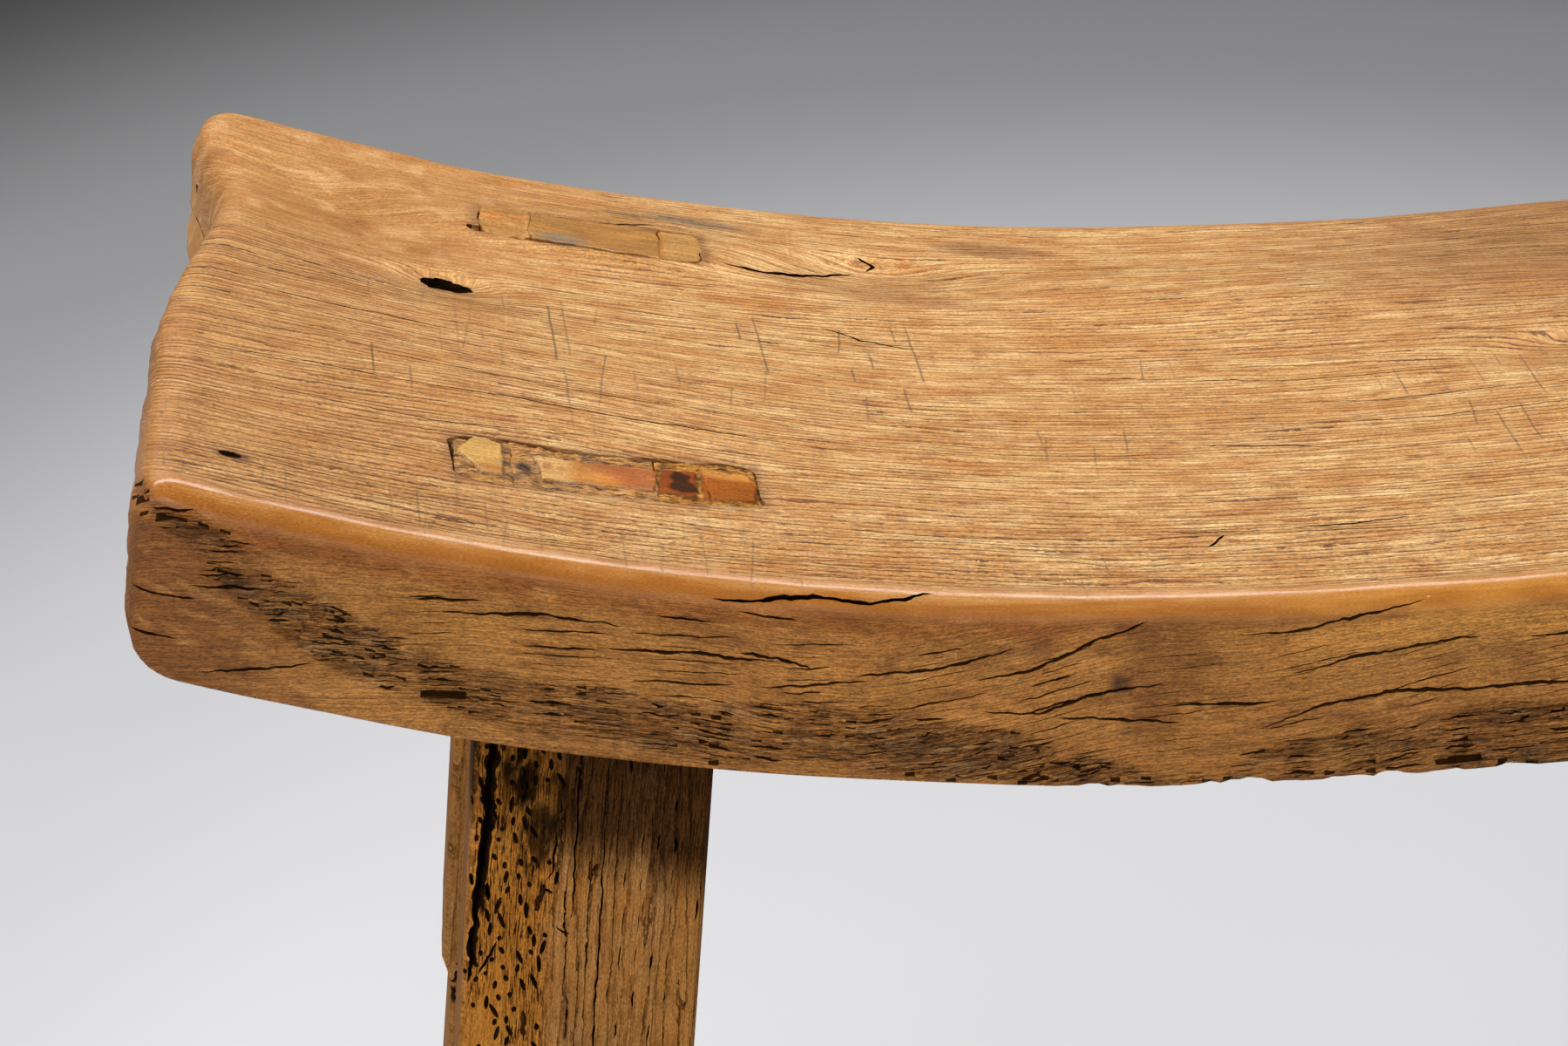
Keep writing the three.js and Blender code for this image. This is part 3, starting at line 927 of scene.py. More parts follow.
@dataclass(frozen=True)
class SeatPlank:
    """The plank: its shape, what wear and cutting did to it, and its meshes."""

    length: float = 560.0
    depth: float = 250.0
    thickness: float = 50.0
    sitting_height: float = 460.0
    low_point: float = 19.0
    left_rise: float = 43.0
    right_rise: float = 34.0
    crown: float = 4.5
    twist: float = 3.0
    end_lean: float = 6.0
    top_arris: float = 8.0
    bottom_arris: float = 4.0
    end_top_radius: float = 12.0
    end_bottom_radius: float = 14.0
    corner_radius: float = 8.0

    # Its mesh along the seat: each rounded end, then close rings up to the right part, then wider
    end_stretch: float = 14.0
    seen_to: float = 112.0
    fine_steps: int = 158
    coarse_steps: int = 42
    # Steps of its section: round an arris and across the next side, from the top on
    section_steps: tuple = ((5, 104), (12, 76), (5, 26), (4, 24))

    # The worn band of the front face: along the seat, then how far under the top it starts and ends
    rot_band: tuple = (
        (-274, 4, 8), (-264, 6, 16), (-252, 11, 25), (-240, 17, 33), (-230, 22, 36),
        (-212, 28, 41), (-191, 30, 44), (-150, 31, 46), (-110, 29, 46), (-79, 33, 48),
        (-58, 38, 51), (-40, 46, 51), (-26, 45, 52), (-15, 38, 52), (14, 33, 53), (56, 31, 53),
        (130, 34, 53), (200, 41, 52), (262, 47, 51),
    )
    # How the grain of the front face climbs towards the top along the seat
    front_climb: tuple = (
        (-280, 0), (-260, -4), (-240, -9), (-220, -12), (-200, -15), (-170, -16.5), (-150, -17),
        (-130, -15.5), (-110, -16), (-90, -20), (-75, -24), (-60, -28.5), (-45, -31.5),
        (-25, -32), (0, -34), (25, -37), (50, -37.5), (280, -42),
    )
    # Where the grain of the top bends: place, reach along and across, and how far
    swirls: tuple = (
        (-190, -40, 60, 40, -10), (-209, 21, 15, 9, 13), (-165, 78, 52, 20, -16),
        (-250, 62, 30, 30, 20), (-93, 70, 28, 13, 14), (30, 62, 85, 28, -14), (88, 4, 26, 11, 12),
        (190, -30, 60, 30, 12), (160, 70, 50, 20, 13),
    )
    # Checks in the front face: along the seat and down from the top
    checks: tuple = (
        Crack(((-280, -28), (-272, -27), (-263, -25.8)), 0.9),
        Crack(((-281, -38.5), (-266.6, -36.8))), Crack(((-265, -22.8), (-245, -19.4))),
        Crack(((-215, -14.5), (-199, -11.8))),
        Crack(((-209, -16.7), (-183, -13.1), (-167, -13.4)), 0.9),
        Crack(((-262, -44.6), (-236, -35.6))), Crack(((-268, -50), (-260, -49))),
        Crack(((-141, -6.3), (-127, -7.6))),
        Crack(((-140, -16.8), (-131, -17.7), (-123, -19.4)), 0.95),
        Crack(((-113, -20.9), (-96, -18.4), (-86, -15.2), (-77, -11.6)), 0.95),
        Crack(((-85, -20.5), (-71, -17.1), (-57, -9), (-45, -4.5)), 0.9),
        Crack(((-83, -28.5), (-69, -28.6), (-57, -23.2), (-40, -20.6)), 0.9),
        Crack(((-39, -26.6), (-13, -26.7)), 0.9),
        Crack(((-24, -8.4), (-12, -8.3), (13, -3.6), (25, -2.2))),
        Crack(((-11, -19.3), (5, -15.7), (26, -12.5), (34, -12.1)), 0.9),
        Crack(
            ((-17, -33.7), (-2, -27.9), (14, -25.5), (35, -26), (56, -26.3), (80, -27)), 1.1, 4.5
        ),
        Crack(((45, -13.4), (70, -13.0))),
        Crack(((-171, -19.6), (-151, -18.1), (-131, -18.2)), 0.9),
        Crack(((-135, -25.4), (-118, -22.8), (-110, -21.8))),
        Crack(((-36, -31.1), (-52, -29.7), (-65, -29.7))),
        Crack(((-190, -22), (-172, -20.5)), 0.6), Crack(((-160, -9.5), (-146, -9.8)), 0.6),
        Crack(((70, -18), (100, -17), (128, -19))), Crack(((92, -9), (120, -10))),
        Crack(((140, -27), (180, -28), (205, -31)), 0.9), Crack(((160, -14), (196, -17))),
        Crack(((215, -22), (250, -27)), 0.9),
    )
    # The open crack on the front arris: along the seat, and from the arris towards the back
    arris_crack: Crack = Crack(
        (
            (-147, -3), (-137, -2.2), (-131, 0), (-123, 0.8), (-110, 0.2), (-102, 2.2), (-98, 4.7),
            (-95, 4.9),
        ),
        1.6,
        7.0,
    )
    # Checks and cuts in the top: along and across the seat
    top_cracks: tuple = (
        Crack(((-134, 69), (-123, 66), (-113, 65.5), (-98, 70)), 2.0, 4.0),
        Crack(((-95, 72), (-92, 77), (-97, 84)), 1.4, 2.2),
        Crack(((-172, 88.5), (-162, 91), (-151, 93)), 1.3, 3.0),
        Crack(((-24, -41), (-9, -42.4), (2, -43), (17, -47)), 0.8, 2.2),
        Crack(((-44, -87.5), (-27, -89), (-12, -89.5)), 0.5, 2.0),
        Crack(((-6, -89), (11, -87.8), (24, -86)), 0.8, 2.2),
        Crack(((44, 27), (73, 20)), 0.7, 2.0), Crack(((-27, -97), (-22, -90.5)), 1.2, 1.6),
        Crack(
            ((-273, -52), (-247, -44), (-221, -43), (-190, -41.5), (-147, -45), (-104, -51)),
            0.6, 2.2,
        ),
        Crack(((-262, -63), (-211, -62), (-156, -54)), 0.45, 2.0),
        Crack(((-256, -9), (-225, -7), (-188, -7)), 0.5, 2.0),
        Crack(((-232, -30), (-200, -29), (-150, -33), (-116, -38)), 0.5, 2.0),
        Crack(((-111, 28), (-101, 21), (-86, 16)), 1.2, 1.8),
        Crack(((-52, 2), (10, -4), (62, -2)), 0.5, 2.0),
        Crack(((-30, -14), (30, -20), (80, -16)), 0.5, 2.0),
        Crack(((-20, -30), (40, -32), (90, -28)), 0.5, 2.0),
        Crack(((110, -60), (170, -64), (215, -60)), 0.6, 2.0),
        Crack(((130, 20), (190, 24), (230, 20)), 0.6, 2.0),
    )
    # Ragged holes and a chip: along, across, down, their three sizes, and how ragged
    holes: tuple = (
        (-208.0, 21.0, 0.5, 6.6, 4.3, 9.0, 0.5), (-200.0, 70.0, 0.0, 3.2, 2.6, 5.0, 0.3),
        (-257.5, -101.5, -0.2, 3.0, 1.4, 2.2, 0.3), (-43.0, -126.0, 51.5, 6.0, 4.5, 2.6, 0.4),
    )
    stains: tuple = (
        Blotch(-58, 96, 32, 12, -8, 0.9, 0.35, 0.25), Blotch(-88, 55, 52, 11, -14, 0.75, 0.6, 0.5),
        Blotch(150, 40, 60, 24, 12, 0.35, 0.7, 0.5),
    )
    front_stains: tuple = (
        Blotch(-40, -14, 20, 24, 12, 0.75, 0.3, 0.4), Blotch(-42, -29, 12, 18, 0, 0.7, 0.35, 0.4),
        Blotch(-25, -38, 12, 6, 0, 0.5, 0.5, 0.4), Blotch(-112, -6, 14, 6, 0, 0.35, 0.6, 0.4),
        Blotch(120, -20, 40, 20, 0, 0.4, 0.6, 0.5),
    )
    knife_marks: tuple = (
        Blotch(-218, -12, 30, 76, 0, 1.0, 0.3, 0.3), Blotch(-182, -12, 40, 90, 0, 0.9, 0.3, 0.3),
        Blotch(-110, 0, 100, 70, 0, 0.8, 0.3, 0.4), Blotch(-45, -15, 60, 70, 0, 0.75, 0.3, 0.4),
        Blotch(60, -25, 70, 60, 0, 0.7, 0.3, 0.4), Blotch(-150, -108, 240, 26, 0, 0.55, 0.3, 0.4),
        Blotch(170, 20, 120, 110, 0, 0.4, 0.4, 0.4),
    )

    @property
    def half_length(self) -> float:
        """Half of the length."""
        return self.length / 2

    @property
    def half_depth(self) -> float:
        """Half of the depth."""
        return self.depth / 2

    def top(self, x: Array, y: Array) -> Array:
        """Height of the top over the floor.

        Args:
            x: places along the seat.
            y: places across the seat.

        Returns:
            An array of heights in millimetres.
        """
        from_low = np.asarray(x, float) + self.low_point
        left = from_low < 0
        run = np.where(left, self.half_length - self.low_point, self.half_length + self.low_point)
        rise = np.where(left, self.left_rise, self.right_rise)
        radius = (run**2 + rise**2) / (2 * rise)
        dip = radius - np.sqrt(radius**2 - np.clip(from_low, -run, run) ** 2)
        across = y / self.half_depth
        lean = self.twist * x / self.half_length * across
        return self.sitting_height + dip - self.crown * across**2 - lean

    def stretch(self, below: Array) -> Array:
        """How much longer the plank is at a depth under its top."""
        return 1.0 + self.end_lean / self.half_length * below / self.thickness

    def at(self, x: Array, y: Array, below: Array) -> Array:
        """Places in the plank from where they are along, across and under its top."""
        x, y, below = np.broadcast_arrays(x, y, below)
        return np.stack([x * self.stretch(below), y, self.top(x, y) - below], axis=-1)

    def on_top(self, x: Array, y: Array, height: Array) -> Array:
        """Places on or off the top."""
        return self.at(x, y, -height)

    def on_front(self, x: Array, rise: Array, height: Array) -> Array:
        """Places on or off the front face."""
        return self.at(x, -self.half_depth - height, -rise)

    def on_back(self, x: Array, rise: Array, height: Array) -> Array:
        """Places on or off the back face."""
        return self.at(x, self.half_depth + height, -rise)

    def on_arris(self, x: Array, s: Array, height: Array) -> Array:
        """Places on or off the front arris.

        Args:
            x: places along the seat.
            s: places round the arris, across the seat.
            height: off the wood.

        Returns:
            An array of places.
        """
        round_off = np.sqrt(2 * self.top_arris**2 - s**2)
        total = 2 * self.top_arris - round_off - height * math.sqrt(2)
        return self.at(x, (total + s) / 2 - self.half_depth, (total - s) / 2)

    def under(self, points: Array) -> tuple[Array, Array, Array]:
        """Where places are along, across and under the top of the plank.

        Args:
            points: in millimetres.

        Returns:
            Three arrays, in millimetres.
        """
        x, y, z = points.T
        below = np.clip(self.top(x, y) - z, -20.0, 80.0)
        x = x / self.stretch(below)
        return x, y, self.top(x, y) - z

    def section(self, x: Array) -> Array:
        """The rings of points round the plank at several places along it.

        Args:
            x: places along the plank, one for each ring.

        Returns:
            An array of rings by points by three coordinates.
        """
        to_end = (self.half_length - np.abs(x))[:, None]
        half = self.half_depth - fallen(self.corner_radius, to_end)
        top = fallen(self.end_top_radius, to_end) + self.top_arris
        bottom = self.thickness - fallen(self.end_bottom_radius, to_end) - self.bottom_arris
        large, small = self.top_arris, self.bottom_arris
        arcs = (
            (half - large, top, large, *self.section_steps[0]),
            (large - half, top, large, *self.section_steps[1]),
            (small - half, bottom, small, *self.section_steps[2]),
            (half - small, bottom, small, *self.section_steps[3]),
        )
        rows = []
        for quarter, (y, below, radius, arc_steps, flat_steps) in enumerate(arcs):
            angle = (quarter + np.arange(arc_steps + 1)[None] / arc_steps) * math.pi / 2
            arc = (y + radius * np.cos(angle), below - radius * np.sin(angle))
            next_y, next_below, next_radius = arcs[(quarter + 1) % 4][:3]
            turn = (quarter + 1) * math.pi / 2
            goal = (
                next_y + next_radius * math.cos(turn),
                next_below - next_radius * math.sin(turn),
            )
            share = np.arange(1, flat_steps)[None] / flat_steps
            flat = [a[:, -1:] + (g - a[:, -1:]) * share for a, g in zip(arc, goal)]
            rows.append(np.stack([np.concatenate([a, f], 1) for a, f in zip(arc, flat)], -1))
        outline = np.concatenate(rows, 1)
        return self.at(x[:, None], outline[..., 0], outline[..., 1])

    def stations(self) -> Array:
        """Places along the plank, closest where its detail is finest.

        Returns:
            An array in millimetres, from end to end.
        """
        angles = np.arange(9) / 9 * math.pi / 2
        ends = self.end_stretch * (1.0 - np.cos(angles))
        inner = self.half_length - self.end_stretch
        fine = np.linspace(-inner, self.seen_to, self.fine_steps)
        coarse = np.linspace(self.seen_to, inner, self.coarse_steps)[1:]
        far = self.half_length - ends[::-1]
        return np.concatenate([ends - self.half_length, fine, coarse, far])

    def rings(self) -> Array:
        """All rings of the plank, with the flat of each end closed in towards its middle.

        Returns:
            An array of rings by points by three coordinates.
        """
        body = self.section(self.stations())
        caps = []
        for ring in (body[0], body[-1]):
            reach = np.clip(ring[:, 1], -104.0, 104.0)
            middle = np.stack([np.full(len(ring), ring[:, 0].mean()), reach, ring[:, 2]], -1)
            middle[:, 2] = self.top(ring[0, 0], reach) - self.thickness / 2
            caps.append([middle + (ring - middle) * share for share in (0.0, 0.3, 0.55, 0.75, 0.9)])
        return np.concatenate([np.array(caps[0]), body, np.array(caps[1][::-1])])

    def band_share(self, x: Array, below: Array) -> Array:
        """How far inside the worn band of the front face each place is.

        Args:
            x: places along the seat.
            below: places under the top edge, in millimetres.

        Returns:
            An array from 0 to 1.
        """
        band = np.array(self.rot_band, float)
        start, stop = (np.interp(x, band[:, 0], band[:, k]) for k in (1, 2))
        wander = 2.2 * layered(11, x / 13, below / 9)
        return smooth(-1.5, 2.0, below + wander - start) * smooth(-1.0, 2.0, stop - below - wander)

    def climb(self, x: Array) -> Array:
        """How far the front's grain has climbed at places along the seat."""
        return np.interp(x, *np.array(self.front_climb, float).T)

    def slope(self, x: Array) -> Array:
        """How steeply the front's grain climbs at places along the seat."""
        return (self.climb(x + 4.0) - self.climb(x - 4.0)) / 8.0

    def surface(self, points: Array, rims: Array) -> Surface:
        """What wear, cracks and stains did at each place, with painted light on the right of the
        front arris.

        Args:
            points: the places.
            rims: how near each is to the edge of a joint, from 0 to 1.

        Returns:
            The surface there.
        """
        x, y, below = self.under(points)
        s = y + self.half_depth - below
        on_top = 1.0 - smooth(12.0, 22.0, below)
        on_front = 1.0 - smooth(-119.0, -112.0, y)
        face = on_front * smooth(1.0, 7.0, below)
        on_top *= 1.0 - face
        on_end = smooth(-2.5, 0.0, np.abs(x) - self.half_length + 1.0)
        across = s + 1.6 * noise(3, x / 90, s / 35) + 0.35 * noise(5, x / 22, s / 7)
        across += self.climb(x) * (1.0 - smooth(-6.0, 10.0, s)) * on_front
        for cx, cy, reach_x, reach_y, height in self.swirls:
            hill = np.exp(-(((x - cx) / reach_x) ** 2) - ((y - cy) / reach_y) ** 2)
            across += height * hill * on_top
        out = Surface.plain(x + (y + below) * 0.9 * on_end, across)

        # Worn band: short blocks of wood left at different heights along each layer
        patchy = np.clip(0.7 + 0.8 * layered(13, x / 19, below / 5), 0.0, 1.0)
        rot = self.band_share(x, below) * patchy * on_front
        layer = across / 1.35 + 0.5 * noise(15, x / 26, s / 6)
        length = 5.0 + 9.0 * hashed(61, layer)
        step = hashed(63, layer, x / length + 7.0 * hashed(62, layer))
        flake = step**1.4 * smooth(0.0, 0.2, layer - np.floor(layer))
        out.rot = rot * (0.3 + 0.4 * smooth(-270.0, -215.0, x))

        # Grain: strong near the front of the top, faint in the swirled far left and on the front
        swirled = smooth(-150.0, -215.0, x) * smooth(5.0, 45.0, y)
        near = 1.0 - smooth(20.0, 60.0, s)
        out.lines = (1.0 - 0.75 * swirled) * on_top + 0.12 * face + 0.6 * rot
        out.lines *= 1.0 - 0.25 * smooth(-0.2, 0.7, layered(19, x / 60, s / 30))
        out.pores = 0.5 + 0.5 * near * on_top + 0.5 * face
        out.scratch = most(self.knife_marks, x, y) * on_top

        # Polish on the front arris and on the rubbed left end
        wavy = 2.2 * noise(21, x / 17, s / 30)
        upper = 1.0 - smooth(6.0, 9.5, s + wavy)
        front_arris = smooth(-7.0, -2.5, s + 0.4 * wavy) * upper * on_front
        left_edge = smooth(-267.0, -277.0, x) * on_top * (0.75 - 0.5 * smooth(-100.0, -60.0, y))
        far_edge = smooth(112.0, 121.0, y) * on_top
        out.polish = np.maximum.reduce([front_arris, left_edge, 0.6 * far_edge]) * (1.0 - rot)

        # Colour, from broad to small
        out.warm = 0.6 * smooth(0.05, 0.8, layered(23, x / 42, y / 22)) * on_top + 0.5 * swirled
        amber = smooth(-13.0, -6.0, s) * (1.0 - smooth(-1.5, 3.5, s + wavy)) * on_front
        amber *= 1.0 - 0.9 * smooth(-80.0, 40.0, x)
        arris = np.exp(-(((s + 2.0) / 8.0) ** 2)) * on_front
        knot = Blotch(-51, -20.5, 5, 5, 0, 1.0, 0.4, 0.3).cover(x, -below) * face
        for share, tone in (
            (0.86 * face, 0xA86C26),
            (0.8 * face * smooth(-222.0, -268.0, x), 0x784212),
            (0.5 * on_top * smooth(-150.0, -260.0, x), 0xA8702E),
            (0.85 * on_top * smooth(-20.0, 120.0, x) * smooth(-20.0, 80.0, y), 0x94622C),
            # Painted light, partly the wood's honey tone: the top of the front face on the right is
            # painted lighter where it falls into shade under the arris.
            (0.75 * face * smooth(-80.0, 20.0, x) * (1.0 - smooth(8.0, 28.0, below)), 0xC88E42),
            (0.55 * swirled * on_top * smooth(0.0, 0.45, layered(29, x / 9, y / 7)), 0xA4662A),
            (0.4 * swirled * on_top * smooth(0.1, 0.5, layered(35, x / 6, y / 5)), 0xDDB076),
            (0.3 * face * smooth(-220.0, -120.0, x), 0xB4712C),
            (0.6 * face * smooth(0.0, 0.7, layered(25, x / 24, below / 8)), 0x84501C),
            (0.35 * face * smooth(0.2, 0.8, layered(27, x / 15, below / 5)), 0xBC7E36),
            (0.7 * amber, 0x94500E),
            # Painted light, partly the wood's honey tone: the right of the arris is painted a pale
            # honey.
            (0.9 * arris * smooth(-50.0, 30.0, x), 0xD8963F),
            (0.5 * arris * smooth(-0.05, 0.45, layered(45, x / 12, s / 5)), 0x7C420E),
            (0.45 * arris * smooth(0.1, 0.6, layered(55, x / 9, s / 4)), 0xC9893C),
            (0.5 * face * smooth(0.15, 0.6, layered(57, x / 7, below / 3)), 0x6E3F12),
            (0.4 * face * smooth(0.2, 0.6, layered(59, x / 5, below / 2.5)), 0xCB9048),
            (0.8 * on_end, 0x9A642E),
            (0.45 * rot, 0x9A662C),
            (0.35 * rot * smooth(0.7, 0.85, step), 0x2A1808),
            (0.35 * rot * (1.0 - smooth(0.1, 0.25, step)), 0x9A7C54),
            (0.7 * face * most(self.front_stains, x, -below), 0x74440F),
            (0.9 * knot, 0x4A2A10),
            (0.5 * on_top * self.stains[0].cover(x, y), 0x7A431A),
            (0.5 * on_top * most(self.stains[1:], x, y), 0x965A20),
            (0.55 * on_top * Blotch(-160, 76, 50, 44, 0, 1, 0.5, 0.4).cover(x, y), 0xB47C34),
            (0.7 * on_top * Blotch(-143, 100, 34, 6, -4, 1, 0.6, 0.6).cover(x, y), 0x7A6A4E),
            (0.8 * on_top * Blotch(-257.5, -101.5, 9, 4, 0, 1, 0.5, 0.4).cover(x, y), 0x5A3014),
            (0.6 * on_top * rims, 0x80542A),
        ):
            out.colour(share, tone)

        hewn = 0.45 * (1.0 + noise(37, x / 48, s / 26)) + 0.12 * (1.0 + layered(41, x / 14, s / 9))
        ribs = 0.7 * on_end * (1.0 + layered(43, y / 9, below / 3.0))
        crumbs = 0.9 * rims * on_top * (0.5 + 0.5 * layered(47, x / 2.2, y / 2.2))
        lumps = 0.25 * swirled * (1.0 + layered(49, x / 11, y / 8))
        out.depth = hewn + ribs + crumbs + lumps + rot * (0.4 + 2.5 * flake)
        return out

    def worn_corner(self, points: Array) -> Array:
        """The far left corner, which is worn in, rounded and rolled down.

        Args:
            points: of the plank before wear.

        Returns:
            The points, moved in.
        """
        x, y, _ = self.under(points)
        stepped = 11.0 * np.exp(-(((y - 43.0) / 44.0) ** 2)) * smooth(-215.0, -282.0, x)
        corner = np.exp(-(((x + 280) / 16) ** 2) - ((y - 125) / 18) ** 2)
        return points + np.column_stack([stepped + 2.5 * corner, -3.0 * corner, -1.0 * corner])

    def cracks(self) -> list[bpy.types.Object]:
        """The tools that cut the plank's checks.

        Returns:
            One object for each group that doesn't touch in itself.
        """
        slits = scattered(
            301, (-276, 276, 12.5), (-51, -4, 1.45), (11.4, 0.95, 4.8),
            lambda x, v: 0.92 * self.band_share(x, -v),
            lambda x: -self.slope(x),
        )
        fine = scattered(
            307, (-225, 276, 29.0), (-40, -10, 3.1), (25.0, 0.7, 3.0),
            lambda x, v: 0.95 * (1.0 - self.band_share(x, -v)),
            lambda x: 0.06 + 0.1 * smooth(-60.0, 40.0, x) - self.slope(x),
        )
        back = scattered(
            311, (-270, 270, 38.0), (-46, -10, 5.0), (32.0, 0.6, 3.2),
            lambda x, v: 0.22, lambda x: 0.02 + 0.0 * x,
        )
        groups = (
            (self.checks, self.on_front), ((self.arris_crack,), self.on_arris),
            (self.top_cracks, self.on_top), (slits, self.on_front), (fine, self.on_front),
            (back, self.on_back),
        )
        return [
            gathered(
                "checks",
                [crack.solid(lift, 400 + 7 * i + 31 * k) for i, crack in enumerate(cracks)],
            )
            for k, (cracks, lift) in enumerate(groups)
        ]

    def build(self, shop: Workshop, corners: tuple["Corner", ...], joint: "SeatJoint") -> None:
        """Makes the plank with its slots and dresses it.

        Args:
            shop: finishes the pieces.
            corners: where the joints are.
            joint: the joints' shape.
        """
        obj = loft("seat_plank_elm", self.rings())
        points, normals = points_of(obj), normals_of(obj)
        rims = joint.rims(self, corners, points)
        carved = points - normals * self.surface(points, rims).depth[:, None]
        set_points(obj, self.worn_corner(carved))
        uncut = tree_of(obj)
        for tool in self.cracks():
            combine(obj, tool, Cut.AWAY)
        holes = [
            blob(self.at(*map(np.array, hole[:3])), hole[3:6], 71 + k, hole[6])
            for k, hole in enumerate(self.holes)
        ]
        combine(obj, gathered("seat_holes", holes), Cut.AWAY)
        for corner in corners:
            combine(obj, joint.slot_tool(self, corner), Cut.AWAY)
            if corner.patched:
                combine(obj, joint.patch_tool(self, corner), Cut.AWAY)
        points = points_of(obj)
        surface = self.surface(points, joint.rims(self, corners, points))
        shop.finish(obj, surface, (Finish.SEAT, Finish.OPEN), "seat_elm", ("seat_plank",), 0.0)
        middles = np.array([face.center[:] for face in obj.data.polygons]) / MM
        opened = freshly_cut(obj, uncut) & (joint.rims(self, corners, middles) < 0.7)
        obj.data.polygons.foreach_set("material_index", opened.astype(np.int32))


# The legs and their joints


@dataclass(frozen=True)
class Corner:
    """One corner of the stool, with how its joint lies off its leg's axis."""

    name: str
    end: int
    side: int
    offset: float = 0.0
    set_back: float = 0.0
    turn: float = 0.0
    wear: float = 0.0
    wormy: bool = False
    patched: bool = False

    def leg_frame(self, seat: SeatPlank) -> Array:
        """The leg's frame: its origin on the seat's top and its Z up the leg.

        Args:
            seat: the plank.

        Returns:
            A matrix from the leg's frame to the stool's.
        """
        x = self.end * (seat.half_length - 110.0)
        y = self.side * (seat.half_depth - 46.5)
        slopes = (math.tan(math.radians(4.6)), math.tan(math.radians(7.0)))
        up = np.array([-self.end * slopes[0], -self.side * slopes[1], 1.0])
        up /= np.linalg.norm(up)
        along = np.cross([0.0, 1.0, 0.0], up)
        along /= np.linalg.norm(along)
        matrix = np.eye(4)
        matrix[:3, 0], matrix[:3, 1], matrix[:3, 2] = along, np.cross(up, along), up
        matrix[:3, 3] = x, y, seat.top(x, y)
        return matrix

    def joint_frame(self, seat: SeatPlank) -> Array:
        """The frame of the joint on top of the leg.

        Args:
            seat: the plank.

        Returns:
            A matrix from the joint's frame to the stool's.
        """
        angle = self.end * self.side * math.radians(self.turn)
        inner = np.eye(4)
        inner[0, :2] = math.cos(angle), -math.sin(angle)
        inner[1, :2] = math.sin(angle), math.cos(angle)
        inner[:2, 3] = self.end * self.offset, -self.side * self.set_back
        return self.leg_frame(seat) @ inner

    def height_at(self, seat: SeatPlank, level: float) -> float:
        """A level over the floor as a height along the leg."""
        matrix = self.leg_frame(seat)
        return (level - matrix[2, 3]) / matrix[2, 2]


CORNERS = (
    Corner("front_left", -1, -1, 5.5, 2.5, 4.5, wormy=True, patched=True),
    Corner("front_right", 1, -1),
    Corner("rear_left", -1, 1, -1.4, wear=3.2),
    Corner("rear_right", 1, 1),
)


